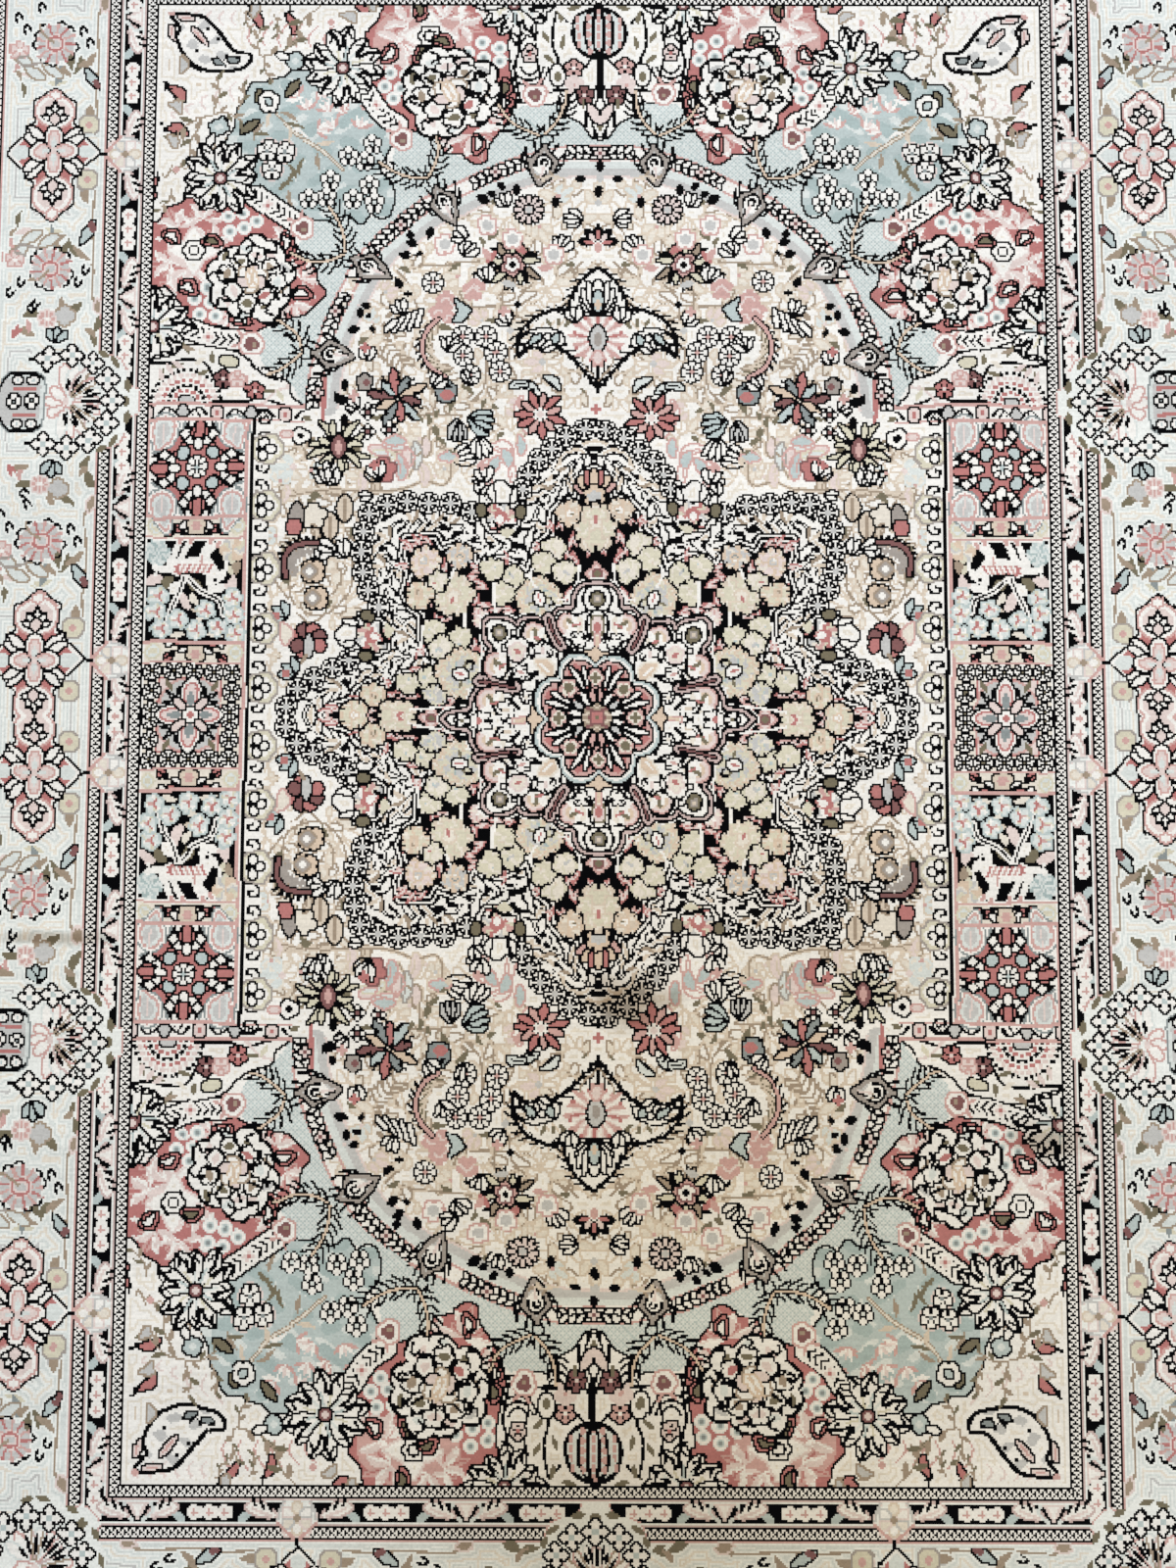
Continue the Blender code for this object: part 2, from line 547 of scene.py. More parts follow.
def grapes(chart, places):
    """A cluster of round pale berries, each with a dark eye."""
    for x, y in places:
        chart.fill(disc(x, y, 3.9), MIST)
    for x, y in places:
        chart.fill(ring(x, y, 2.9, 1.3), IVORY)
        chart.fill(disc(x, y, 2.0), SKY)
        chart.fill(disc(x, y, 1.1), SLATE)


def pomegranate(chart, x, y, turn, radius=6.0):
    """A small dark heart inside an ivory and pink rim with a split crown."""
    for side in (-1, 1):
        chart.line([step(x, y, turn, radius * 0.6),
                    step(*step(x, y, turn, radius * 1.5), turn + 90 * side, radius * 0.8)], PINK, 1.6)
    chart.fill(lobed(x, y, radius, 3, 0.2, turn + 60), IVORY, PINK)
    chart.fill(lobed(x, y, radius * 0.66, 3, 0.22, turn + 60), MAUVE)
    chart.fill(disc(*step(x, y, turn, -radius * 0.2), radius * 0.22), TAN)


def comb(chart, points, length, gap, lean, side, yarn, width):
    """Slanted teeth along one side of a path, shorter towards both its ends."""
    places = along(points, gap, gap / 2)
    for k, (x, y, direction) in enumerate(places):
        swell = 0.55 + 0.45 * np.sin(np.pi * (k + 0.5) / len(places))
        chart.line([(x, y), step(x, y, direction + side * lean, length * swell)], yarn, width)


def feather(chart, points, side, length=9.5):
    """A bowed plume: a thin pink and tan rib with long black lashes outside and finer ones inside."""
    path = smooth(points)
    for reach, gap, hand in ((length, 4.2, side), (length * 0.8, 5.0, -side)):
        for k, (x, y, direction) in enumerate(along(path, gap, 1.5)):
            root = step(x, y, direction + hand * 62, reach * 0.4)
            tip = step(*root, direction + hand * 32, reach * (0.7 if k % 2 else 0.45))
            chart.curve([(x, y), root, tip], BLACK, 1.4)
    chart.fill(ribbon(path, 2.4), BLACK)
    chart.fill(ribbon(path, 1.3), PEACH)


def shield(chart, x, y, size, turn):
    """A palmette that comes to a point both ways, with lashes round its outer half and a scroll inside."""
    half = ((1.0, 0.0), (0.55, 0.26), (0.2, 0.66), (-0.15, 0.52), (-0.55, 0.36), (-1.05, 0.0))

    def at(along_axis, across):
        return step(*step(x, y, turn, size * along_axis), turn + 90, size * across)

    outline = [at(u, v) for u, v in half] + [at(u, -v) for u, v in half[-2:0:-1]]
    for side in (-1, 1):
        for reach, out, lean in ((0.55, 0.32, 30), (0.28, 0.62, 46), (-0.02, 0.62, 58), (-0.32, 0.46, 66),
                                 (0.85, 0.12, 22)):
            root = at(reach, side * out)
            chart.curve([root, step(*root, turn + side * lean, size * 0.28),
                         step(*root, turn + side * lean * 0.6, size * 0.55)], BLACK, 1.4)
    chart.fill(polygon(outline), TAUPE, BLACK)
    chart.fill(polygon([(x + (px - x) * 0.7, y + (py - y) * 0.7) for px, py in outline]), GREY)
    chart.fill(oval(*at(0.06, 0), size * 0.46, size * 0.4, turn), IVORY)
    chart.curve([at(-0.25, 0.3), at(0.15, 0.38), at(0.5, 0.05), at(0.3, -0.3), at(-0.05, -0.3)], BLACK, 1.5)
    chart.curve([at(-0.05, 0.12), at(0.2, 0.16), at(0.24, -0.08), at(0.0, -0.08)], BLACK, 1.4)
    chart.line([at(-0.1, 0), at(-0.7, 0)], BLUSH, 1.6)
    chart.line([at(-0.3, 0.16), at(-0.7, 0.06)], BLACK, 1.2)


def tulip(chart, x, y, length, turn, fill=MIST, petals=3, spread=24, width=0.34):
    """A closed flower: narrow black-edged petals fanning from a foot."""
    for k in range(petals):
        a = turn + (k - (petals - 1) / 2) * spread
        bow = (k - (petals - 1) / 2) * length * 0.08
        chart.fill(leaf(x, y, length, length * width, a, bend=bow, belly=1.3), fill, BLACK)


def bean(chart, x, y, length, turn, bend=1.5, fill=ROSE):
    """A pod with a hooked tail."""
    chart.fill(leaf(x, y, length, length * 0.32, turn, bend=bend * 1.4, belly=0.75), fill, BLACK)
    tip = step(x, y, turn, length)
    chart.line([step(*tip, turn, -2), step(*tip, turn + 25 * np.sign(bend), 3)], BLACK, 1.5)


def rosette(chart, x, y, radius, petals=8, eye=PINK, petal=IVORY, edge=BLACK, turn=0):
    """A round flower of black-outlined petals."""
    chart.fill(lobed(x, y, radius, petals, 0.12, turn), edge)
    for k in range(petals):
        a = turn + k * 360 / petals
        reach = radius * 0.62
        chart.fill(oval(*step(x, y, a, reach), radius * 0.27,
                        max(0.9, reach * np.sin(np.pi / petals) * 0.7), a), petal)
    chart.fill(disc(x, y, radius * 0.26), petal)
    chart.fill(disc(x, y, max(radius * 0.17, 0.8)), eye)


def spray(chart, x, y, size, turn, stem=TAN, blade=OLIVE, side=1):
    """A thin stem with leaves on both sides."""
    tip = step(x, y, turn, size)
    bow = step(*step(x, y, turn, size * 0.5), turn + 90, side * size * 0.12)
    path = smooth([(x, y), bow, tip])
    chart.fill(ribbon(path, 1.2), stem)
    for k, (px, py, direction) in enumerate(along(path, size * 0.24, size * 0.2)):
        flip = 1 if k % 2 else -1
        chart.fill(leaf(px, py, size * 0.34, size * 0.13, direction + flip * 42), blade if k % 2 else stem)


def arabesque(chart, x, y, size, turn, side=1, yarn=BEIGE, lobe=CREAM):
    """A split-leaf scroll: a thin curling stem with pale fronds on its outer side."""
    path = smooth([step(x, y, turn + side * k * 34, size * (0.95 - 0.1 * k)) for k in range(7)])
    for k, (px, py, direction) in enumerate(along(path, size * 0.4, size * 0.1)):
        frond = leaf(px, py, size * 0.8, size * 0.3, direction - side * 55, bend=side * size * 0.08)
        chart.fill(frond, IVORY if k % 3 else lobe, yarn if k % 4 else TAN, on=GROUNDS)
    chart.fill(ribbon(path, 1.3), yarn, on=GROUNDS)
    chart.fill(leaf(*path[-1], size * 0.5, size * 0.24, turn + side * 250), lobe, yarn, on=GROUNDS)


def boundary_path(inset=0.0):
    """The ogee that parts the ivory field from the corners, or a line that far inside it."""
    points = ((0, 325), (19, 325), (43, 319), (61, 312), (79, 303), (97, 295), (111, 285), (126, 272),
              (138, 254), (146, 238), (153, 222), (158, 208), (162, 192), (164, 175))
    path = np.array(smooth(points))
    if inset:
        heading = np.gradient(path, axis=0)
        normal = np.stack([heading[:, 1], -heading[:, 0]], 1) / np.hypot(*heading.T)[:, None]
        path = path + normal * inset
        path[:, 0] = np.maximum(path[:, 0], -1)
    return [tuple(p) for p in path]


def corner_grounds(chart):
    """The net-patterned blue band, the blue pool and the two rose clouds behind the corner flowers."""
    net = ((-1, 345), (20, 352), (45, 350), (60, 335), (66, 318), (84, 320), (92, 335), (112, 335),
           (118, 300), (118, 288), (128, 284), (140, 285), (150, 292), (165, 285), (168, 266), (158, 250),
           (155, 240), (162, 226), (172, 224), (188, 218), (192, 210), (188, 198), (176, 192), (170, 184),
           (165, 175), (140, 175), (100, 260), (60, 300), (-1, 310))
    chart.fill(polygon(net), diamonds(MIST, SKY))
    pool = ((112, 340), (118, 322), (124, 312), (117, 303), (115, 295), (117, 287), (122, 284),
            (128, 287), (133, 281), (140, 285), (148, 283), (156, 282), (165, 284), (178, 291),
            (190, 298), (204, 306), (210, 322), (209, 330), (206, 336), (205, 345), (201, 350),
            (199, 357), (195, 361), (188, 361), (185, 364), (178, 365), (173, 369), (164, 370),
            (150, 362), (136, 352), (124, 346))
    chart.fill(polygon(smooth(pool, True)), mottled(SKY, TEAL, 0.33, 0.5), BLACK)
    chart.fill(polygon(smooth(pool, True)), mottled(SKY, MIST, 0.41, 0.9), on=(SKY,))
    cloud = ((53, 412), (52, 385), (49, 368), (48, 350), (54, 336), (61, 326), (62, 318), (67, 315),
             (73, 318), (76, 321), (85, 321), (88, 328), (95, 333), (108, 336), (118, 343), (124, 352),
             (128, 364), (128, 380), (130, 391), (124, 398), (122, 406), (117, 412))
    chart.fill(polygon(smooth(cloud, True)), ROSE, BLACK)
    chart.fill(polygon(smooth(((76, 380), (74, 404), (100, 410), (116, 404), (126, 392), (122, 376),
                               (100, 374)), True)), PINK, on=(ROSE,))
    cloud = ((172, 276), (170, 263), (160, 255), (157, 244), (153, 238), (160, 231), (165, 226),
             (176, 224), (188, 220), (195, 217), (212, 221), (226, 222), (233, 233), (243, 244),
             (252, 238), (252, 276), (246, 281), (242, 288), (235, 291), (229, 295), (224, 290),
             (196, 292), (184, 284))
    chart.fill(polygon(smooth(cloud, True)), ROSE, BLACK)


def strip(chart, points, flower):
    """A narrow ivory ribbon with black edges, slanting leaf marks and one small flower."""
    path = smooth(points)
    chart.fill(ribbon(path, 11), IVORY, BLACK)
    for x, y, direction in along(path, 4.0, 2.0):
        for side in (-1, 1):
            chart.line([(x, y), step(x, y, direction + side * 48, 4.4)], BLACK, 1.3)
    floret(chart, *flower, 3.4, 4, BLUSH, ROSE, IVORY)


def flames(chart, x, y, turn, reach):
    """Ivory and pink tongues that spread from a place over the rose cloud."""
    for k in range(9):
        a = turn + (k - 4) * 21
        length = reach * (1.0, 0.7, 0.9, 0.6)[k % 4]
        chart.fill(leaf(x, y, length, reach * 0.3, a, bend=(k % 3 - 1) * 1.5, belly=1.3),
                   (IVORY, PINK, BLUSH)[k % 3], on=(ROSE, PINK))
        chart.line([step(x, y, a, length * 0.4), step(x, y, a, length * 0.85)],
                   (BLUSH, ROSE, IVORY)[k % 3], 1.0, on=(IVORY, PINK, BLUSH))


# Flames of the rose grounds: x, y, direction and length.
FLAMES = (
    (80, 398, 200, 14), (88, 402, 90, 11), (108, 398, 20, 16), (110, 384, 300, 17), (98, 384, 240, 13),
    (70, 332, 250, 17), (62, 344, 180, 12), (82, 328, 20, 12), (120, 372, 60, 12), (60, 400, 120, 13),
    (230, 252, 300, 15), (240, 256, 0, 13), (216, 268, 130, 13), (236, 276, 60, 14), (222, 282, 90, 13),
    (166, 246, 150, 14), (170, 232, 230, 13), (206, 226, 280, 12), (176, 270, 90, 12), (236, 240, 30, 12),
)


# Feathers between the grounds: path, and the side that the barbs are on.
FEATHERS = (
    (((32, 331), (25, 339), (21, 348), (20, 358)), 1), (((32, 331), (42, 335), (50, 340), (57, 350)), -1),
    (((95, 306), (91, 315), (89, 325), (90, 334)), 1),
    (((95, 306), (106, 307), (115, 310), (124, 316)), -1),
    (((142, 262), (143, 272), (146, 281), (152, 290)), 1),
    (((142, 262), (152, 258), (163, 258), (173, 263)), -1),
    (((166, 205), (169, 214), (176, 220), (185, 226)), 1),
    (((166, 205), (173, 199), (181, 194), (192, 192)), -1),
)


def corner_flowers(chart):
    """Roses, star flowers, grapes and feathers over the corner's grounds."""
    for x, y, turn, reach in FLAMES:
        flames(chart, x, y, turn, reach)
    for places in (((58, 384), (67, 387), (66, 378), (57, 376), (75, 381)),
                   ((107, 367), (116, 368), (110, 359), (119, 360), (114, 353)),
                   ((192, 281), (200, 286), (208, 284), (199, 277), (207, 275)),
                   ((219, 242), (226, 236), (217, 234), (214, 226), (223, 227))):
        grapes(chart, places)
    for x, y, size, turn in ((96, 390, 15, 0), (227, 263, 14, 0)):
        chart.fill(lobed(x, y, size, 4, 0.45, turn, sharp=True), IVORY, BLUSH)
        chart.fill(lobed(x, y, size * 0.4, 6, 0.3, turn), IVORY, BLACK)
        chart.fill(ring(x, y, size * 0.2, 1.3), BLACK)
    for x, y, turn in ((55, 360, 100), (54, 350, 70), (68, 326, 90), (103, 405, 80), (89, 386, 20),
                       (118, 379, 120), (101, 379, 110), (166, 237, 0), (200, 223, 10), (176, 268, 80),
                       (240, 270, 30), (230, 241, 20), (217, 268, 0)):
        chart.fill(leaf(*step(x, y, turn, -6), 12, 7.5, turn, bend=1.5), ROSE, BLACK)
        chart.fill(leaf(*step(x, y, turn, -3), 7, 3.0, turn, bend=1.5), (IVORY, OLIVE)[x % 2], BLACK)
    for points, flower in ((((111, 337), (121, 344), (130, 357)), (124, 349)),
                           (((168, 279), (180, 287), (194, 297)), (186, 291)),
                           (((198, 212), (212, 213), (230, 219)), (218, 214))):
        strip(chart, points, flower)
    for points, side in FEATHERS:
        feather(chart, points, side)
    for x, y, turn in ((37, 356, 80), (110, 329, 60), (166, 277, 60), (194, 210, 20)):
        pomegranate(chart, x, y, turn)
    cabbage_rose(chart, 83, 357, 27, 10)
    cabbage_rose(chart, 194, 247, 25, 30)
    for x, y, radius, turn in ((143, 372, 24, 100), (213, 307, 23, 60), (249, 220, 23, 180),
                               (48, 409, 23, 270)):
        star_flower(chart, x, y, radius, turn)


# Blades on the pale blue pool: x, y, direction and yarn.
POOL_BLADES = (
    (160, 327, 175, BEIGE), (158, 322, 265, TAN), (166, 318, 285, OLIVE), (169, 312, 300, OLIVE),
    (172, 305, 320, OLIVE), (174, 300, 260, TAN), (186, 345, 280, BEIGE), (176, 338, 190, OLIVE),
    (190, 338, 300, TAN), (178, 352, 170, IVORY), (170, 305, 60, OLIVE), (193, 352, 200, PEACH),
    (186, 330, 0, OLIVE), (164, 330, 20, IVORY), (170, 338, 30, TAN), (176, 326, 95, BEIGE),
)


def pool_flowers(chart):
    """The pale blue pool: small open flowers, and a branch with blades and one bloom."""
    for x, y in ((127, 326), (132, 316), (141, 319), (129, 302), (126, 292), (138, 294), (151, 305),
                 (153, 295), (163, 294)):
        chart.fill(lobed(x, y, 6.4, 5, 0.3, 90), BLACK)
        chart.fill(lobed(x, y, 5.6, 5, 0.35, 90), IVORY)
        for k in range(5):
            chart.line([step(x, y, 126 + 72 * k, 2.4), step(x, y, 126 + 72 * k, 4.8)], BLACK, 1.0)
        chart.fill(disc(x, y, 1.4), MIST, BLACK)
    for x, y in ((177, 321), (187, 322), (184, 311)):
        chart.fill(disc(x, y, 6.8), BLUSH, on=(TEAL, SKY, MIST))
        floret(chart, x, y, 5.4, 5, IVORY, SLATE, turn=90)
    for x, y, turn in ((143, 347, 0), (154, 347, 30), (166, 348, 40), (136, 337, 70), (151, 337, 10),
                       (161, 335, 120), (148, 355, 160), (172, 356, 20), (130, 346, 60), (160, 360, 190)):
        for k in range(5):
            chart.fill(leaf(x - 2, y - 2, 8, 2.2, turn + k * 28 - 20), (PINK, IVORY, BLUSH, IVORY, PINK)[k])
    branch = smooth(((144, 311), (152, 319), (160, 325), (172, 332), (180, 340), (187, 348), (190, 354)))
    chart.fill(ribbon(branch, 2.6), TAN)
    chart.fill(ribbon(branch, 1.2), CREAM)
    for x, y, turn, yarn in POOL_BLADES:
        chart.fill(leaf(x, y, 11, 2.6, turn, bend=1.2), yarn)
    for x, y, turn, length in ((169, 364, 310, 13), (193, 339, 325, 13), (191, 357, 300, 8)):
        chart.fill(leaf(x, y, length, 4.0, turn), OLIVE, BLACK)
    chart.fill(lobed(187, 350, 6.4, 5, 0.25, 20), IVORY, BLACK)
    chart.fill(oval(187, 350, 2.6, 1.6, 40), SKY, BLACK)


# Sprays of the white corner: x, y, size, direction and side.
CORNER_SPRAYS = (
    (158, 408, 26, 300, 1), (190, 378, 24, 150, 1), (192, 378, 18, 95, -1), (190, 378, 16, 250, 1),
    (219, 344, 20, 95, 1), (219, 344, 18, 200, -1), (219, 343, 24, 330, 1), (225, 338, 22, 285, 1),
    (205, 345, 16, 100, 1), (240, 300, 16, 300, -1), (200, 405, 12, 250, 1), (184, 404, 14, 260, -1),
)


def white_corner(chart):
    """The white corner: a spotted paisley, hooked pods, sprays and faint scrolls."""
    outline = ((223, 399), (214, 389), (207, 380), (197, 378), (200, 371), (209, 368), (221, 367),
               (231, 371), (237, 378), (240, 386), (238, 393), (243, 400), (238, 402), (230, 401))
    paisley = smooth(outline, True)
    chart.fill(polygon(paisley), mottled(IVORY, GREY, 0.45, 0.8), BLACK)
    chart.fill(ribbon(list(paisley) + [paisley[0]], 2.2), BLACK)
    chart.line([(203, 377), (207, 374), (210, 377), (214, 373), (217, 377)], BLACK, 1.3)
    for x, y in ((222, 393), (216, 387), (229, 379), (220, 374), (211, 377)):
        chart.fill(lobed(x, y, 2.2, 4, 0.5, 0, sharp=True), BLACK)
    for x, y, length, turn in ((222, 383, 15, 50), (243, 395, 10, 262), (229, 399, 11, 5)):
        chart.fill(leaf(x, y, length, 3.4, turn), BLUSH, BLACK)
        chart.fill(leaf(*step(x, y, turn, 2), length - 4, 1.4, turn), PINK)
    for x, y, turn in ((204, 374, 10), (213, 371, 20)):
        chart.fill(leaf(x, y, 7, 3, turn), SLATE, BLACK)
    for x, y, length, turn, bend in ((172, 392, 13, 72, 1.5), (191, 396, 13, 52, 1.5),
                                     (235, 351, 13, 42, 1.5), (232, 332, 14, 18, 2.0),
                                     (250, 294, 13, 100, -2.0), (138, 408, 11, 175, 2.0)):
        bean(chart, x, y, length, turn, bend)
    for x, y, size, turn, side in CORNER_SPRAYS:
        spray(chart, x, y, size, turn, side=side)
    for x, y, turn in ((171, 376, 20), (215, 336, 300)):
        chart.fill(lobed(x, y, 5, 4, 0.25, turn), SKY, BLACK)
        chart.fill(disc(x, y, 1.8), MIST)
        chart.fill(leaf(*step(x, y, turn, 4), 8, 3.6, turn), IVORY, BLACK)
    for x, y, turn in ((242, 367, 90), (240, 345, 40), (200, 402, 80), (243, 325, 60), (132, 404, 60),
                       (141, 398, 30)):
        chart.fill(leaf(x - 4, y, 9, 4, turn, bend=2), GREY, TAN)
    for x, y in ((150, 398), (238, 312), (243, 402)):
        chart.fill(lobed(x, y, 2.4, 4, 0.5, 0, sharp=True), PINK)
    for k in range(6):
        chart.curve([(198 + 8 * k, 366 - 4 * k), (202 + 8 * k, 360 - 3 * k), (199 + 8 * k, 352 - 2 * k)],
                    BLUSH, 1.2, on=(IVORY,))
        chart.curve([(206 + 7 * k, 405), (209 + 7 * k, 400), (206 + 7 * k, 396)], BLUSH, 1.2, on=(IVORY,))
        chart.curve([(210 + 6 * k, 330 - 3 * k), (214 + 6 * k, 322 - 3 * k), (221 + 5 * k, 320 - 2 * k)],
                    TAN, 1.1, on=(IVORY,))
        chart.curve([(148 + 9 * k, 396 + k), (154 + 9 * k, 390), (152 + 9 * k, 384)], PINK, 1.1,
                    on=(IVORY,))


# Black lines of the niche.
NICHE_LINES = (
    ((25, 403), (27, 393), (27, 384), (24, 376), (27, 368)), ((36, 392), (38, 382), (36, 372), (34, 362)),
    ((50, 392), (47, 384), (49, 374), (47, 362), (45, 352)), ((3, 330), (3, 342)),
    ((8, 337), (7, 350), (1, 362)), ((20, 343), (19, 352), (22, 358), (32, 357)), ((8, 372), (4, 377)),
    ((19, 398), (24, 404)),
)


def top_niche(chart):
    """The ivory niche at the end of the field, with its striped globe on a dark stem."""
    niche = ((-2, 329), (4, 330), (8, 336), (12, 340), (18, 343), (24, 352), (30, 351), (46, 352),
             (50, 368), (53, 386), (51, 395), (58, 396), (64, 404), (60, 412), (-2, 412))
    chart.fill(polygon(niche), IVORY, BLACK)
    for points in NICHE_LINES:
        chart.curve(points, BLACK, 1.6)
    for radius in (5, 8, 11):
        chart.curve([step(41, 373, a, radius) for a in range(190, 351, 20)], BLACK, 1.4, on=(IVORY,))
    chart.fill(oval(25, 367, 4, 6, 0), IVORY, BLACK)
    chart.fill(oval(25, 366, 2, 3.5, 0), OLIVE)
    floret(chart, 41, 380, 4.6, 5, BLUSH, ROSE)
    chart.fill(oval(0, 391, 17, 15, 0), MIST)
    for k, radius in enumerate((3.2, 8.2, 15.5)):
        path = [step(0, 391, a, 1) for a in range(-90, 91, 12)]
        path = [(px * radius, 391 + (py - 391) * 15.5) for px, py in path]
        for px, py, direction in along(path, 4.0 if k < 2 else 3.4, 1.0):
            chart.line([step(px, py, direction, -1.2), step(px, py, direction, 1.2)], BLACK, 2.4)
    for x, height in ((0, 13), (5.6, 12), (12, 8)):
        for y in np.arange(391 - height, 391 + height, 5.0):
            chart.fill(oval(x, y + 1, 2.2, 1.4, 90), PINK)
    chart.fill(ribbon([(0, 378), (0, 352)], 3.4), BLACK)
    floret(chart, 15, 371, 5.2, 5, PINK, IVORY)
    floret(chart, 15, 361, 4.8, 5, BLUSH, PINK, edge=BLUSH)
    floret(chart, 9, 355, 5.4, 5, MAUVE, BLUSH)
    chart.fill(leaf(0, 331, 22, 9, 90), IVORY, BLACK)
    chart.fill(leaf(0, 333, 14, 4, 90), OLIVE)
    for turn in (60, 120):
        chart.fill(leaf(0, 338, 14, 5, turn), BLUSH, BLACK)
    for x, y, turn in ((22, 397, 80), (22, 382, 100), (29, 386, 60), (14, 408, 150), (18, 406, 170),
                       (27, 374, 40), (10, 346, 90)):
        chart.fill(leaf(x, y, 8, 3, turn), OLIVE)


def boundary(chart):
    """The ivory field's rim: pink lines round a ribbon of leaf garlands, a grey band, and shields on it."""
    rim = boundary_path()
    chart.fill(polygon(rim + [(164, 166), (192, 166), (192, -2), (-2, -2), (-2, 325)]), IVORY)
    chart.fill(ribbon(boundary_path(13.5), 9.0), GREY)
    chart.fill(ribbon(boundary_path(11.0), 4.0), MIST)
    chart.fill(ribbon(boundary_path(18.2), 1.3), BLUSH)
    chart.fill(ribbon(rim, 1.4), PINK)
    chart.fill(ribbon(boundary_path(8), 1.4), PINK)
    chart.line([(153, 192), (154, 165)], ROSE, 2.4)
    middle = boundary_path(4)
    for x, y, reach in ((0, 321, 15), (57, 310, 17), (111, 280, 17), (147, 228, 16), (157, 182, 12)):
        near = [p for p in middle if np.hypot(p[0] - x, p[1] - y) <= reach]
        for px, py, direction in along(near, 4.4, 1.0):
            for side in (-1, 1):
                chart.fill(leaf(px, py, 4.8, 2.4, direction + side * 44), IVORY, BLACK)
        floret(chart, x, y, 3.2, 4, BLUSH, MAUVE)
    for x, y, size, turn in ((31, 314, 12.5, 95), (86, 291, 12.5, 65), (127, 255, 12.5, 25),
                             (149, 203, 12.5, 5)):
        shield(chart, x, y, size, turn)


# Leaves of the strip under the corner: x, y, direction and yarn.
STRIP_LEAVES = (
    (215, 198, 85, OLIVE), (228, 204, 60, OLIVE), (217, 195, 340, OLIVE), (243, 196, 290, OLIVE),
    (180, 184, 0, OLIVE), (225, 206, 20, TAN), (176, 178, 60, SAGE), (232, 199, 340, OLIVE),
    (232, 196, 30, BLUSH), (238, 192, 60, BLUSH), (244, 188, 80, BLUSH), (226, 198, 150, CREAM),
)


def lower_corner(chart):
    """The ivory strip under each corner: a dotted fan, small flowers and a long garland."""
    ground = ((165, 175), (172, 181), (174, 188), (184, 191), (192, 196), (199, 203), (206, 206),
              (228, 209), (238, 203), (250, 198), (250, 175))
    chart.fill(polygon(smooth(ground)), IVORY, BLACK)
    for radius, size, yarn in ((7, 1.2, ROSE), (10, 1.3, BLACK), (13, 1.3, ROSE), (16, 1.4, BLUSH),
                               (19, 1.3, BLACK)):
        for k in range(int(radius * 0.9) + 1):
            px, py = step(230, 176, k * 180 / int(radius * 0.9), radius)
            chart.fill(disc(px, py, size), yarn)
    chart.fill(disc(230, 175, 4.5), GREY, BLACK)
    chart.curve([(214, 190), (217, 196), (221, 200), (232, 201), (240, 199), (250, 199)], BLACK, 1.6)
    chart.curve([(176, 176), (190, 180), (196, 177), (215, 177)], BLACK, 1.5)
    chart.curve([(174, 186), (180, 184), (188, 176)], BLUSH, 1.6)
    floret(chart, 192, 184, 5.2, 5, ROSE, BLUSH)
    floret(chart, 209, 190, 5.2, 5, MAUVE, BLUSH)
    floret(chart, 201, 190, 4.4, 5, BLUSH, PINK, edge=PINK)
    chart.fill(oval(206, 200, 5, 3, 10), SAGE, BLACK)
    for x, y, turn, yarn in STRIP_LEAVES:
        chart.fill(leaf(x, y, 8, 3, turn), yarn)
    chart.fill(polygon(((153, 175), (250, 175), (250, 166), (153, 166))), IVORY)
    for y in (175, 166):
        chart.line([(153, y), (250, y)], PINK, 1.4)
    for centre in (175, 213, 251):
        for side in (-1, 1):
            chart.curve([(centre + side * 5, 168), (centre + side * 10, 172.5), (centre + side * 17, 168)],
                        BLACK, 1.4)
            for k in range(3):
                chart.line([(centre + side * (6 + 3.5 * k), 168),
                            (centre + side * (9 + 3.5 * k), 173 - 1.2 * k)], BLACK, 1.2)
        chart.fill(lobed(centre, 170.5, 3.6, 4, 0.2, 45), BLUSH, BLACK)
        chart.fill(disc(centre, 170.5, 1.3), ROSE)
    for x in (156, 194, 232):
        chart.fill(lobed(x, 170.5, 3.2, 3, 0.3, 90), GREY, BLACK)


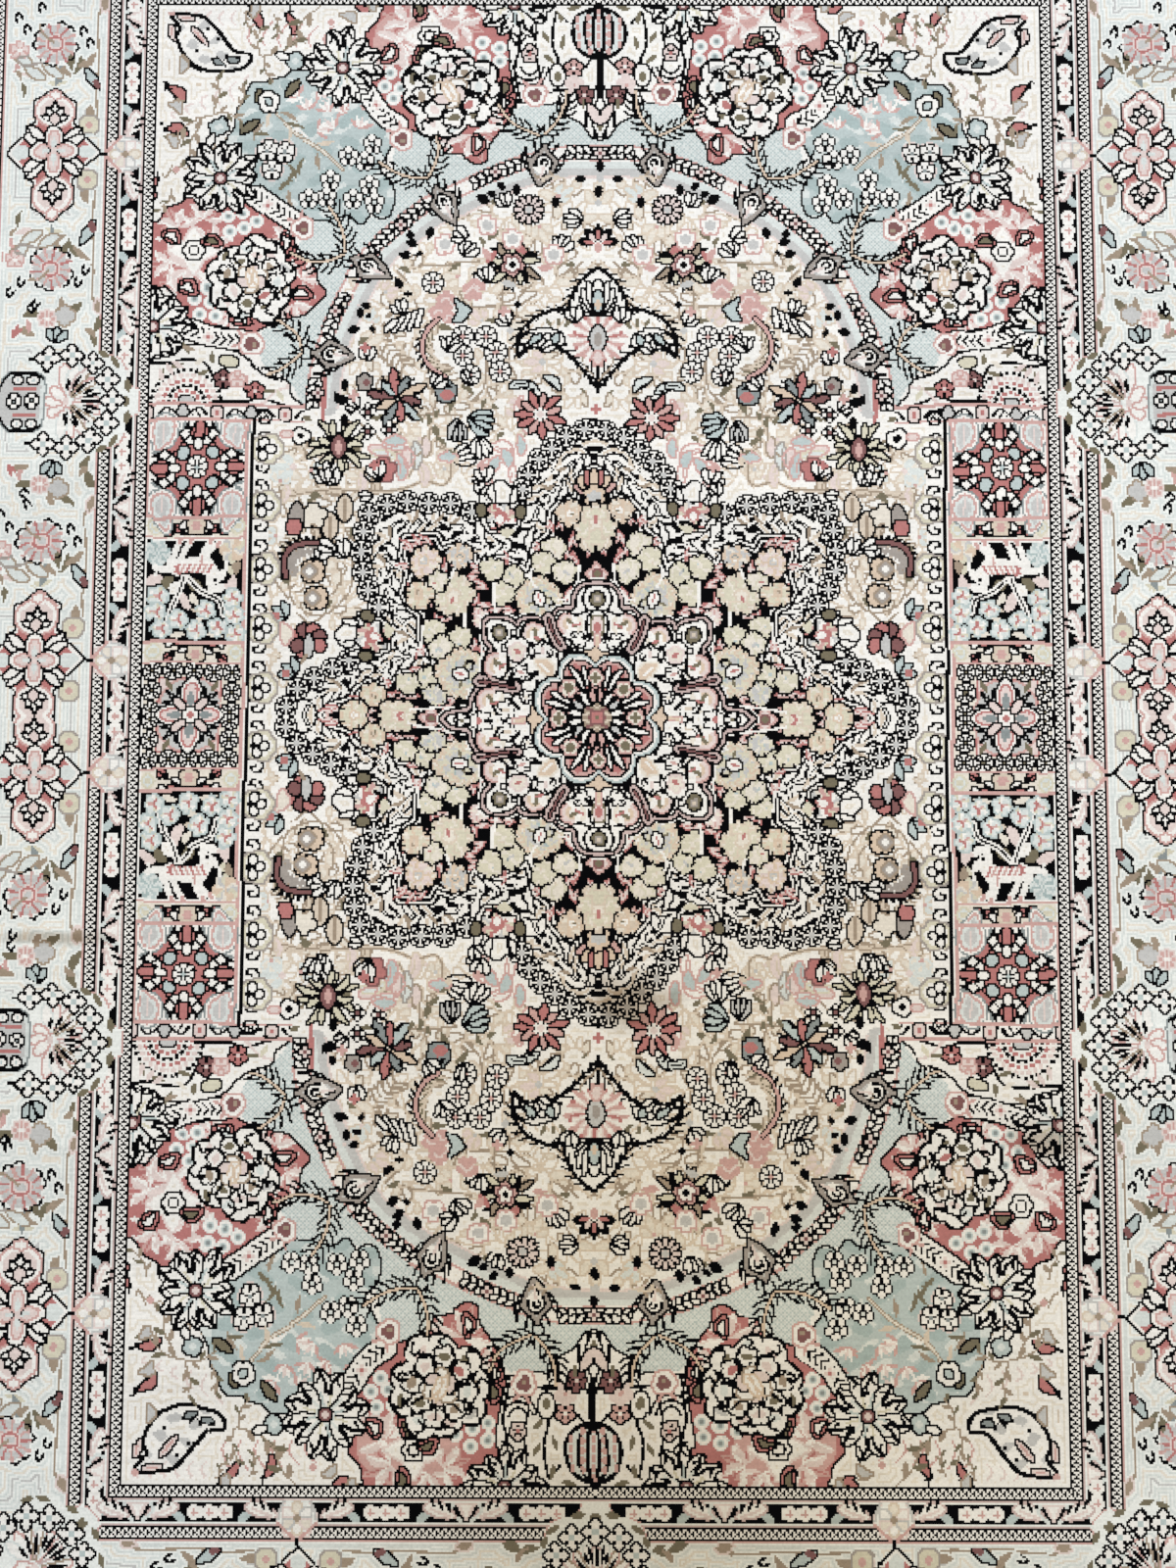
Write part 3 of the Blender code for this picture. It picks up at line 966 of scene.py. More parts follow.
# Scrolls of the ivory field: x, y, size, direction and side of the curl.
SCROLLS = (
    (12, 262, 12, 200, 1), (30, 252, 13, 320, -1), (20, 240, 10, 90, 1), (48, 238, 12, 260, -1),
    (62, 262, 12, 100, 1), (76, 250, 11, 20, -1), (92, 262, 10, 200, 1), (100, 250, 10, 300, 1),
    (60, 232, 12, 0, 1), (90, 226, 9, 120, -1), (108, 214, 11, 60, 1), (120, 226, 11, 250, -1),
    (118, 196, 11, 140, 1), (100, 192, 9, 330, -1), (60, 200, 12, 180, 1), (64, 184, 12, 40, -1),
    (44, 196, 10, 280, 1), (12, 200, 10, 60, -1), (14, 186, 9, 200, 1), (34, 196, 9, 110, 1),
    (86, 172, 12, 20, 1), (100, 170, 10, 160, -1), (50, 176, 10, 250, 1), (72, 172, 9, 330, 1),
    (96, 158, 10, 60, 1), (136, 206, 10, 200, 1), (138, 190, 9, 60, -1), (128, 240, 9, 280, 1),
    (15, 296, 13, 250, 1), (30, 276, 12, 80, -1), (54, 290, 10, 200, 1), (74, 278, 10, 300, 1),
    (14, 276, 12, 30, 1), (44, 268, 9, 150, -1), (84, 240, 9, 260, 1), (52, 156, 9, 200, -1),
    (84, 152, 10, 90, 1), (112, 172, 9, 300, -1), (130, 146, 11, 180, 1), (150, 134, 12, 60, 1),
    (168, 134, 12, 120, -1), (160, 146, 9, 300, 1), (148, 122, 10, 200, -1), (164, 118, 12, 20, 1),
    (176, 108, 9, 250, -1), (176, 138, 9, 90, 1), (140, 84, 12, 170, 1), (150, 66, 14, 230, -1),
    (170, 64, 12, 330, 1), (166, 84, 9, 60, 1), (174, 84, 9, 120, -1), (150, 56, 10, 0, 1),
    (172, 42, 9, 280, 1), (142, 92, 9, 60, -1), (176, 28, 8, 200, 1), (140, 108, 8, 120, 1),
)


# Stems that join the scrolls.
STEMS = (
    ((8, 300), (14, 296), (20, 302), (18, 310), (30, 300)), ((10, 282), (16, 270), (12, 262), (22, 256)),
    ((36, 270), (40, 260), (36, 246), (44, 240)), ((52, 246), (54, 236), (52, 226)),
    ((56, 232), (74, 232)), ((66, 258), (82, 257), (100, 256)),
    ((62, 208), (60, 198), (62, 184), (70, 176)), ((46, 222), (46, 232), (54, 232)),
    ((74, 168), (92, 169), (110, 168)), ((92, 168), (90, 180), (98, 186)),
    ((112, 240), (110, 226), (114, 214)), ((128, 240), (126, 226), (124, 212), (120, 204)),
    ((10, 244), (14, 252), (8, 258)), ((100, 230), (104, 244), (112, 254)),
    ((118, 150), (128, 162), (140, 166)), ((156, 128), (158, 142), (166, 152)),
    ((120, 128), (150, 127), (176, 122)), ((176, 130), (168, 126), (160, 112)),
    ((136, 88), (138, 70), (150, 58), (166, 62), (170, 78), (162, 88)), ((142, 84), (144, 72), (154, 64)),
    ((150, 58), (158, 52), (166, 58)), ((176, 92), (178, 78), (170, 66)),
)


# Olive blades on the stems: x, y, length and direction.
BLADES = (
    (53, 222, 9, 10), (70, 226, 10, 345), (80, 218, 10, 10), (64, 266, 7, 60), (76, 256, 8, 340),
    (104, 252, 8, 20), (68, 180, 10, 40), (53, 172, 6, 10), (60, 178, 7, 300), (78, 176, 8, 310),
    (84, 152, 8, 30), (94, 162, 8, 80), (50, 158, 6, 330), (120, 167, 8, 0), (128, 213, 8, 320),
    (12, 256, 7, 350), (28, 220, 6, 60), (22, 222, 6, 90), (88, 172, 6, 290), (154, 124, 8, 330),
    (160, 110, 7, 280), (170, 74, 10, 40), (146, 66, 8, 300), (156, 152, 6, 50), (130, 38, 8, 20),
    (122, 52, 9, 0), (6, 181, 5, 50), (116, 64, 6, 100), (172, 90, 7, 60), (64, 244, 6, 100),
    (150, 104, 7, 260), (138, 100, 6, 90), (132, 148, 7, 20), (40, 150, 6, 40), (148, 96, 6, 0),
    (178, 56, 6, 80),
)


# Black buds: x, y, direction and length.
BUDS = (
    (0, 310, 90, 6), (7, 306, 0, 5), (0, 302, 270, 6), (45, 296, 90, 6), (52, 299, 60, 5),
    (56, 296, 20, 5), (51, 292, 0, 4), (60, 292, 30, 7), (74, 276, 280, 5), (95, 271, 100, 6),
    (101, 268, 20, 6), (105, 271, 80, 5), (98, 264, 340, 4), (104, 261, 20, 6), (109, 243, 60, 6),
    (108, 240, 180, 4), (126, 231, 20, 5), (133, 224, 90, 5), (130, 224, 150, 4), (133, 218, 350, 6),
    (127, 220, 250, 4), (142, 183, 90, 5), (139, 178, 0, 7), (144, 176, 60, 6), (140, 175, 250, 5),
    (142, 170, 270, 6), (23, 296, 270, 6),
)


def ivory_field(chart):
    """Scrolls, leaves and flowers between the ogee and the medallion."""
    for x, y, size, turn, side in SCROLLS:
        arabesque(chart, x, y, size, turn, side)
    for points in STEMS:
        chart.curve(points, TAN, 1.2, on=GROUNDS)
    for x, y, length, turn in BLADES:
        chart.fill(leaf(x, y, length, length * 0.38, turn, bend=1), OLIVE)
    for x, y, turn in ((19, 306, 0), (26, 240, 30), (52, 238, 80), (106, 200, 60), (118, 206, 80)):
        spray(chart, x, y, 14, turn, BEIGE, TAN)
    for k in range(7):
        px, py = 102 + 2.6 * k, 192 + 2.8 * k
        chart.curve([(px, py + 5), (px + 6, py + 5), (px + 8, py), (px + 7, py - 4)], TAN, 1.5)
    for x, y, turn, length in BUDS:
        chart.fill(leaf(x, y, length * 1.25, length * 0.85, turn), BLACK)


def upper_field(chart):
    """Flowers, tulips and long petals between the pendant and the rim."""
    chart.fill(disc(0, 306, 1.6), GREY)
    for k, a in enumerate((10, 50, 90)):
        chart.fill(leaf(*step(0, 268, a, 2), 10, 5.5, a), BLACK)
        chart.fill(leaf(*step(0, 268, a, 2), 6.5, 2.6, a), (ROSE, BLUSH, ROSE)[k])
    chart.fill(oval(0, 266, 2.4, 3), PINK)
    rosette(chart, 38, 288, 9.5, 12, GREY, BLUSH)
    for x, y in ((61, 214), (74, 214), (55, 205), (73, 203), (52, 194), (69, 192), (91, 246)):
        stamp(chart, x, y, ROSETTE, PINK)
    for k in range(19):
        a = k * 19
        chart.fill(leaf(*step(48, 256, a, 4), (11, 8, 13)[k % 3], 3.0, a, bend=(1, -1)[k % 2]),
                   (BLACK, SAGE, BLACK, TAN)[k % 4], (None, BLACK)[k % 2])
    chart.fill(ragged(48, 256, 6.4, 5, 0.3), PINK, BLACK)
    chart.fill(ragged(48, 256, 4.2, 5, 0.3), IVORY, MAUVE)
    chart.fill(disc(48, 256, 1.8), BLACK)
    for x, y, yarn in ((57, 264, ROSE), (40, 262, ROSE), (60, 258, PINK), (34, 254, PINK),
                       (54, 246, GREY), (62, 270, OLIVE)):
        chart.fill(leaf(x, y, 9, 4, (x * 37) % 360), yarn)
    for x, y, turn in ((33, 262, 0), (40, 246, 80), (62, 252, 350)):
        chart.fill(leaf(x, y, 9, 3.6, turn), BLACK)
    for x, y, turn in ((12, 285, 0), (24, 266, 110), (78, 263, 120), (64, 248, 60)):
        tulip(chart, x - 3, y - 2, 9, turn, IVORY, 4, 22, 0.3)
    for x, y in ((25, 262), (86, 268), (48, 271), (62, 279)):
        chart.fill(lobed(x, y, 5.5, 5, 0.35), IVORY, PINK)
        chart.fill(lobed(x, y, 3.4, 5, 0.4), GREY)
    for x, y, radius in ((69, 242, 6.5), (84, 236, 6), (88, 229, 6), (82, 226, 5)):
        chart.fill(lobed(x, y, radius, 5, 0.3), PINK)
        chart.curve([(x - radius * 0.6, y - 2), (x, y + 2), (x + radius * 0.5, y - 1)], BLUSH, 1.2)
    chart.fill(polygon(((70, 231), (79, 237), (77, 230), (80, 224), (75, 224))), SKY, BLACK)
    chart.fill(leaf(34, 240, 13, 3.5, 325, bend=2), IVORY, TAN)
    chart.fill(disc(45, 233, 1.6), BLACK)
    for k in range(5):
        chart.fill(leaf(97 + 3.4 * k, 231 - 1.6 * k, 12, 3.2, 285 + 6 * k, bend=1), IVORY, BLACK)
    chart.fill(ribbon(smooth(((112, 236), (112, 230), (117, 226))), 3.0), TAN)


def plume_and_stars(chart):
    """The feathered plume, and the pointed flowers between it and the medallion."""
    plume = smooth(((88, 225), (95, 217), (97, 208), (94, 198), (84, 191)))
    for gap, length, yarn in ((3.6, 12, TAN), (4.6, 9, OLIVE), (5.4, 11, BEIGE)):
        comb(chart, plume, length, gap, 48, -1, yarn, 1.4)
    comb(chart, plume, 5.5, 3.6, 40, 1, BLACK, 1.5)
    chart.fill(ribbon(plume, 3.6), BLACK)
    chart.fill(ribbon(plume, 2.0), PINK)
    for k in range(4):
        chart.fill(leaf(82, 206, 9, 2.6, 60 + 30 * k), IVORY, BLACK)
    for k in range(10):
        a = k * 36 + 10
        chart.fill(leaf(*step(112, 178, a, 1.5), (16, 12)[k % 2], 4.4, a, belly=1.2),
                   (MAUVE, SKY, ROSE, SLATE, PEACH)[k % 5], BLACK)
        chart.line([step(112, 178, a + 8, 10), step(112, 178, a + 12, 15)], BLACK, 1.4)
    for x, y in ((117, 161), (129, 160), (129, 171)):
        rosette(chart, x, y, 4.6, 4, MAUVE, IVORY)
    chart.fill(lobed(84, 182, 6.5, 5, 0.15), SLATE, BLACK)
    chart.fill(oval(83, 180, 4.0, 3, 0), ROSE)
    chart.fill(leaf(80, 184, 9, 3, 30), BLACK)
    for k in range(11):
        a = k * 33
        petal = leaf(*step(30, 169, a, 3), (11.5, 9)[k % 2], 3.4, a, belly=1.2)
        chart.fill(petal, (ROSE, PINK)[k % 2], BLACK)
    chart.fill(lobed(30, 169, 4.2, 6, 0.5), IVORY)
    chart.fill(disc(30, 169, 1.8), BLUSH)
    for x, y, turn in ((22, 184, 40), (33, 183, 20), (38, 187, 350)):
        chart.fill(leaf(x - 2, y, 12, 4, turn, bend=1.5), MIST, BLACK)
        chart.line([(x, y + 1), step(x, y + 1, turn, 7)], BLACK, 1.0)
    for x, y, turn, length in ((71, 166, 190, 14), (78, 166, 270, 11), (67, 157, 252, 13),
                               (80, 143, 150, 12)):
        tulip(chart, x, y, length, turn, {14: SKY, 11: GREY}.get(length, IVORY), 4, 17, 0.22)


def side_field(chart):
    """Flowers and fruit beside the medallion, with the feathered crescent over them."""
    for x, y, turn in ((112, 154, 0), (122, 147, 20), (101, 146, 90), (110, 140, 80), (82, 145, 0),
                       (52, 140, 70), (46, 146, 90), (58, 146, 300)):
        chart.fill(leaf(x - 4, y, 11, 5, turn, bend=1), (MIST, SKY, BLUSH)[x % 3], (PINK, TAN)[x % 2])
    for k in range(15):
        a = k * 24 + 6
        chart.fill(leaf(*step(145, 151, a, 4), (12, 9, 14)[k % 3], 3.0, a, bend=(1.2, -1.2)[k % 2],
                        belly=1.1), SAGE, BLACK)
    chart.fill(leaf(145, 145, 13, 8, 90), MAUVE, BLACK)
    chart.fill(leaf(145, 147, 8, 4, 90), PINK)
    chart.fill(lobed(131, 187, 4.6, 5, 0.3), TAUPE, BLACK)
    chart.fill(disc(130, 187, 2), MAUVE)
    chart.fill(lobed(166, 158, 5, 3, 0.3, 60), IVORY, BLACK)
    chart.fill(disc(166, 158, 2), BLACK)
    chart.fill(leaf(171, 158, 6, 4, 10), BLUSH, PINK)
    chart.fill(lobed(120, 138, 7, 5, 0.3), ROSE, MAUVE)
    for x, y in ((122, 132), (152, 134), (146, 130)):
        tulip(chart, x, y, 9, 60, IVORY, 3, 30, 0.3)
    for x, y in ((141, 116), (149, 106)):
        chart.fill(leaf(x, y - 7, 15, 9, 90), BEIGE, BLACK)
        chart.line([(x, y - 6), (x, y + 5)], TAN, 1.6)
    chart.fill(lobed(158, 112, 7, 5, 0.4), CREAM, BLACK)
    chart.fill(leaf(167, 103, 17, 8, 92), TAUPE, BLACK)
    chart.fill(oval(168, 106, 4, 4.5), ROSE, BLACK)
    crescent = smooth(((150, 96), (158, 97), (168, 95), (173, 88), (172, 79)))
    comb(chart, crescent, 10, 3.2, 60, -1, TAUPE, 1.9)
    comb(chart, crescent, 6, 3.0, 40, 1, BLACK, 1.7)
    chart.fill(ribbon(crescent, 4.4), BLACK)
    chart.fill(ribbon(crescent, 2.4), MAUVE)
    for x, y, turn in ((140, 94, 60), (150, 90, 20), (146, 98, 0)):
        tulip(chart, x, y - 4, 9, turn, IVORY, 3, 28, 0.3)
    for x, y in ((157, 82), (155, 67)):
        chart.fill(lobed(x, y, 6.5, 4, 0.25, 45), PEACH, BLACK)
        chart.fill(lobed(x + 2, y, 4, 4, 0.3, 0), TAUPE, TAN)
        chart.fill(disc(x + 2, y, 1.6), IVORY)
    for k in range(8):
        a = 22 + k * 45
        if k != 5:
            chart.fill(oval(*step(159, 42, a, 6.4), 3.7, 3.3, a), (ROSE, MAUVE)[k % 2], BLACK)
    chart.fill(leaf(159, 32, 14, 5, 92), GREY, BLACK)
    chart.fill(ribbon(smooth(((160, 34), (163, 30), (167, 29))), 2.0), TAN)
    for x, y in ((174, 57), (168, 25)):
        tulip(chart, x - 3, y - 2, 10, 40, SKY, 3, 34, 0.34)
        chart.fill(disc(x + 3, y - 1, 2.4), ROSE)
    chart.fill(leaf(172, 40, 12, 6, 80, bend=2), CREAM, PINK)


def soft_flower(chart, x, y, radius, petal, edge, eye, turn):
    """Three pale leaves that fan from a small bud, worked only in the field's own light yarns."""
    for spread, part in ((-44, 1.5), (44, 1.4), (0, 2.0)):
        blade = leaf(x, y, radius * part, radius * 0.7, turn * 5 + spread, bend=spread * 0.03, belly=1.2)
        chart.fill(blade, petal, edge, on=GROUNDS + (BLUSH,))
    chart.fill(disc(x, y, max(1.0, radius * 0.3)), eye)


# Pale flowers: x, y, radius, petal yarn, edge yarn, eye yarn and direction.
SOFT_FLOWERS = (
    (79, 144, 6, CREAM, BEIGE, BEIGE, 0), (74, 135, 4.6, IVORY, BEIGE, CREAM, 30),
    (91, 135, 5, IVORY, BEIGE, BLUSH, 10), (86, 139, 4, CREAM, BEIGE, GREY, 50),
    (170, 140, 6.5, MIST, CREAM, BLUSH, 0), (160, 138, 4.4, MIST, BEIGE, PINK, 40),
    (176, 132, 4.4, CREAM, MIST, PINK, 20), (178, 101, 4.4, MIST, BEIGE, PINK, 0),
    (0, 292, 6.5, CREAM, BEIGE, GREY, 18), (48, 218, 5.6, CREAM, BEIGE, GREY, 40),
    (64, 224, 5, BLUSH, BEIGE, GREY, 10), (130, 208, 5.6, CREAM, BEIGE, BLUSH, 30),
    (30, 200, 5.4, BLUSH, BEIGE, GREY, 0), (32, 278, 5, CREAM, BEIGE, PINK, 50),
    (102, 238, 5, CREAM, BEIGE, BEIGE, 10), (118, 240, 4.6, BLUSH, BEIGE, GREY, 30),
    (78, 250, 5, CREAM, BEIGE, PINK, 0), (126, 222, 4.6, MIST, BEIGE, BLUSH, 20),
    (100, 156, 4.6, CREAM, BEIGE, BLUSH, 0), (48, 174, 5, BLUSH, BEIGE, IVORY, 40),
    (134, 232, 4.6, CREAM, GREY, BLUSH, 0), (22, 296, 4.6, MIST, BEIGE, PINK, 30),
)


# Long leaves: x, y, length, direction, yarn and edge yarn.
LONG_LEAVES = (
    (46, 148, 13, 20, IVORY, PINK), (47, 131, 12, 84, IVORY, PINK), (57, 144, 12, 320, IVORY, PINK),
    (36, 158, 12, 60, IVORY, PINK), (60, 128, 10, 60, BLUSH, PINK), (102, 139, 15, 88, MIST, TAUPE),
    (108, 150, 13, 14, MIST, PINK), (114, 145, 13, 10, MIST, SAGE), (110, 132, 15, 84, SKY, PINK),
    (97, 128, 15, 84, BLUSH, BEIGE), (124, 124, 12, 80, BEIGE, TAN), (132, 124, 13, 88, BLUSH, BEIGE),
    (38, 168, 10, 70, IVORY, PINK), (44, 170, 10, 110, IVORY, PINK), (156, 98, 9, 80, BEIGE, TAN),
    (134, 98, 9, 50, CREAM, TAN), (174, 120, 10, 100, BLUSH, BEIGE), (142, 124, 9, 10, BEIGE, TAN),
)


# Small tulips: x, y, length, direction and petals.
TULIPS = (
    (122, 134, 9, 70, 3), (151, 131, 8, 60, 3), (62, 132, 9, 60, 4), (66, 124, 8, 110, 3),
    (48, 222, 8, 40, 3), (50, 290, 8, 60, 3), (126, 124, 7, 350, 2), (108, 228, 8, 60, 3),
    (30, 206, 7, 120, 3), (74, 272, 8, 20, 3), (12, 224, 8, 70, 3), (134, 174, 7, 30, 3),
    (90, 184, 8, 120, 3), (128, 200, 8, 80, 3), (70, 188, 7, 60, 2),
)


def field_flowers(chart):
    """What fills the open places of the ivory field: soft flowers, long leaves and small tulips."""
    for x, y, radius, petal, edge, eye, turn in SOFT_FLOWERS:
        soft_flower(chart, x, y, radius, petal, edge, eye, turn)
    for x, y, length, turn, fill, edge in LONG_LEAVES:
        chart.fill(leaf(x, y, length, length * 0.36, turn, bend=1), fill, edge, on=GROUNDS + (BLUSH,))
        chart.line([step(x, y, turn, length * 0.3), step(x, y, turn, length * 0.75)], edge, 1.0, on=(fill,))
    for points in (((98, 132), (108, 128), (122, 126), (150, 127), (172, 123)),
                   ((94, 164), (86, 150), (82, 138), (86, 130), (96, 132)),
                   ((106, 134), (102, 144), (108, 150), (116, 146), (116, 138)),
                   ((94, 164), (96, 152), (104, 144))):
        chart.curve(points, BEIGE, 2.2, on=GROUNDS)
        chart.curve(points, TAN, 1.0, on=GROUNDS + (MIST,))
    for x, y, length, turn in ((90, 156, 7, 80), (84, 150, 5, 200), (98, 164, 6, 60), (51, 158, 5, 330),
                               (154, 124, 7, 350), (40, 132, 6, 90), (64, 136, 6, 70), (68, 128, 6, 120),
                               (54, 292, 6, 0), (160, 167, 6, 20)):
        chart.fill(leaf(x, y, length, length * 0.5, turn, bend=0.6), OLIVE)
    for x, y, length, turn, petals in TULIPS:
        tulip(chart, x, y, length, turn, IVORY, petals, 30, 0.32)
    for x, y, yarn in ((125, 141, ROSE), (64, 141, PINK), (0, 173, ROSE), (52, 229, PINK),
                       (130, 207, ROSE), (137, 180, PINK)):
        chart.fill(lobed(x, y, 2.8, 4, 0.3), yarn)


def pendant(chart):
    """The spiky palmette that hangs towards the medallion, with a lotus bud and a wide rose flower."""
    half = ((-1, 255), (5, 251), (11, 245), (15, 237), (17, 230), (28, 229), (38, 223), (44, 213),
            (43, 203), (37, 208), (27, 209), (17, 205), (8, 195), (-1, 183))
    top = smooth(half[:5])
    arm = smooth(half[4:9])
    under = smooth(half[8:])
    chart.fill(polygon(list(half) + [(-12, 183), (-12, 255)]), IVORY)
    for k in range(5):
        chart.curve([(12 + 6 * k, 226 - k), (15 + 6 * k, 223 - 1.5 * k), (18 + 5 * k, 221 - 2 * k)], BEIGE,
                    1.1, on=(IVORY,))
    for path, side in ((top, 1), (arm, 1), (under, -1)):
        comb(chart, path, 7.0, 4.8, 32, side, BLACK, 1.2)
        comb(chart, path, 3.6, 6.5, 34, -side, BLACK, 1.1)
        chart.fill(ribbon(path, 1.9), BLACK)
    for k, turn in enumerate(range(-84, 100, 14)):
        chart.fill(leaf(*step(0, 215, turn, 4), (14, 11, 12)[k % 3], 2.8, turn, bend=(1, -1)[k % 2],
                        belly=1.3), (PINK, ROSE)[k % 3 == 1])
        chart.line([step(0, 215, turn, 7), step(0, 215, turn, 12)], BLUSH, 1.0)
    chart.line([(0, 183), (0, 203)], BLACK, 2.0)
    for side in (-1, 1):
        chart.curve([(0, 186), (side * 3, 194), (side * 3, 202)], BLACK, 1.2)
        chart.curve([(0, 190), (side * 7, 198), (side * 9, 204)], TAN, 1.1)
    for turn, length in ((24, 10), (40, 13), (56, 16), (73, 18), (90, 19)):
        chart.fill(leaf(0, 229, length, 4.4, turn, bend=-1.0, belly=1.1), IVORY, BLACK)
    chart.fill(leaf(0, 229, 13, 5.4, 90), SKY, BLACK)
    chart.fill(leaf(0, 230, 7, 3.2, 90), PEACH)
    chart.fill(leaf(0, 207, 15, 9, 90), GREY, BLACK)
    chart.fill(leaf(0, 209, 10, 4.4, 90), TAUPE)
    chart.fill(polygon(smooth(((19, 212), (22, 217), (30, 219), (38, 217), (41, 212), (38, 209),
                               (29, 209), (22, 210)), True)), IVORY, BLACK)
    for k in range(4):
        chart.fill(leaf(22 + 4.8 * k, 216.5 - 0.3 * k, 7.5, 3.2, 300 + 6 * k), (SKY, IVORY)[k % 2], BLACK)
    for x, turn in ((22, 90), (26, 60), (19, 130)):
        chart.fill(leaf(x, 220, 6, 2.6, turn), OLIVE)
    chart.fill(leaf(0, 200, 7, 5, 90), BLUSH, PINK)


# Small flowers along the dark chain, and its two palmettes with their directions.
CHAIN = ((5, 160), (15, 156), (23, 149), (31, 143), (37, 135), (41, 127), (54, 112), (70, 114), (82, 119),
         (94, 119), (106, 120), (117, 118), (127, 113), (130, 103), (131, 92), (130, 81), (127, 71),
         (121, 62), (124, 46), (126, 37), (136, 31), (145, 26), (155, 20), (164, 14), (170, 5))
CHAIN_PALMETTES = ((54, 112, 90), (124, 46, 0))


def garland(chart):
    """The dark chain of small flowers round the medallion, and the black-edged leaves inside it."""
    inside = polygon([(-1, 164), (2, 164)] + list(CHAIN) + [(174, -1), (-1, -1)])
    leafage(chart, inside, smooth(MEDALLION, parts=3))
    for points in (((0, 166), (12, 160), (22, 152), (32, 146), (38, 134), (42, 126)),
                   ((66, 112), (76, 118), (96, 119), (118, 119), (127, 112), (128, 94), (127, 76),
                    (121, 62)),
                   ((124, 36), (136, 30), (150, 23), (163, 15), (170, 6), (173, 0))):
        chart.curve(points, BLACK, 4.0)
    for x, y, turn, reach in ((92, 108, 80, 9), (104, 108, 60, 9), (116, 98, 30, 10), (118, 84, 0, 9),
                              (84, 108, 100, 8), (30, 130, 140, 8), (22, 138, 120, 8), (104, 46, 330, 9),
                              (112, 38, 300, 8), (140, 14, 350, 9)):
        for k in range(3):
            chart.fill(leaf(x, y, reach, 2.2, turn + 26 * k, bend=1), (BEIGE, IVORY, TAN)[k])
    for x, y in CHAIN:
        if (x, y) not in [palmette[:2] for palmette in CHAIN_PALMETTES]:
            stamp(chart, x, y, THORNED, GREY)
    for x, y, turn in CHAIN_PALMETTES:
        flat = [step(x, y, turn + a, r) for a, r in ((0, 20), (30, 15), (60, 13), (90, 12), (140, 11),
                                                     (180, 9), (220, 11), (270, 12), (300, 13),
                                                     (330, 15))]
        chart.fill(polygon(smooth(flat, True)), IVORY, BLACK)
        for k, side in enumerate((-1, 1, -1, 1)):
            root = step(x, y, turn + side * (20 + 14 * k), 10)
            chart.fill(leaf(*root, 9 - k, 3.0, turn + side * (8 + 12 * k), bend=side), IVORY, BLACK)
        chart.fill(ragged(x, y, 8.6, 9, 0.24), rays(x, y, (CREAM, PINK, SAGE, ROSE, IVORY, GREY), 17),
                   BLACK)
        chart.fill(lobed(*step(x, y, turn, 1), 4.2, 5, 0.3), ROSE)
        chart.fill(disc(*step(x, y, turn, -0.5), 2.4), IVORY)
        chart.curve([step(x, y, turn + 120, 8), step(x, y, turn + 160, 5), step(x, y, turn + 190, 7),
                     step(x, y, turn + 230, 5)], BLACK, 2.2)
        chart.fill(leaf(*step(x, y, turn + 185, 8), 9, 5, turn + 80, bend=1), SAGE)
        for side in (-1, 1):
            chart.fill(oval(*step(x, y, turn + side * 72, 12), 3.6, 2.6, turn), OLIVE, BLACK)


# A quarter of the medallion's outline, and of the petalled heart's inside it.
MEDALLION = ((-1, 138), (6, 134), (9, 128), (11, 121), (20, 119), (26, 112), (26, 103), (34, 97),
             (36, 88), (39, 80), (45, 85), (52, 88), (62, 87), (67, 83), (72, 92), (79, 97), (87, 94),
             (90, 100), (107, 100), (109, 90), (105, 80), (108, 70), (104, 62), (98, 58), (98, 45),
             (92, 36), (88, 31), (95, 28), (108, 26), (112, 20), (118, 17), (126, 19), (132, 14),
             (135, 8), (146, 5), (152, -1))
HEART = ((0, 74), (7, 73), (11, 68), (12, 61), (20, 59), (25, 51), (23, 44), (19, 38), (25, 44), (32, 52),
         (40, 52), (44, 48), (50, 52), (60, 52), (61, 44), (57, 38), (61, 31), (60, 24), (52, 20),
         (45, 16), (54, 19), (63, 18), (68, 12), (70, 5), (80, 3), (84, 0))


# Leaves on the star's black ground: x, y, length and direction.
STAR_LEAVES = (
    (4, 124, 9, 60), (8, 118, 8, 10), (2, 138, 9, 270), (12, 104, 9, 290), (16, 110, 7, 330),
    (13, 94, 9, 280), (17, 96, 8, 275), (24, 104, 7, 60), (31, 92, 7, 60), (6, 90, 8, 120),
    (10, 84, 8, 60), (8, 72, 8, 150), (14, 74, 10, 290), (45, 58, 9, 10), (52, 60, 8, 340),
    (58, 62, 10, 350), (60, 70, 9, 30), (58, 74, 9, 60), (62, 80, 9, 20), (66, 78, 8, 340),
    (84, 90, 9, 270), (86, 84, 8, 280), (92, 94, 8, 40), (98, 92, 9, 60), (102, 92, 9, 40),
    (104, 84, 7, 0), (92, 76, 9, 350), (96, 74, 8, 0), (88, 64, 8, 280), (92, 62, 8, 60),
    (74, 58, 9, 100), (78, 54, 9, 30), (84, 56, 7, 340), (70, 60, 8, 120), (62, 48, 8, 60),
    (66, 40, 8, 260), (68, 36, 7, 80), (96, 42, 7, 300), (98, 30, 6, 330), (76, 14, 10, 340),
    (82, 12, 8, 330), (98, 12, 9, 20), (104, 14, 8, 350), (110, 14, 9, 330), (116, 12, 9, 300),
    (106, 6, 8, 200), (98, 2, 8, 340), (88, 8, 8, 200), (120, 3, 8, 0), (128, 6, 8, 30), (140, 3, 8, 10),
    (34, 56, 8, 200), (50, 84, 7, 80), (60, 54, 8, 0), (114, 16, 6, 60), (144, 2, 7, 0),
)


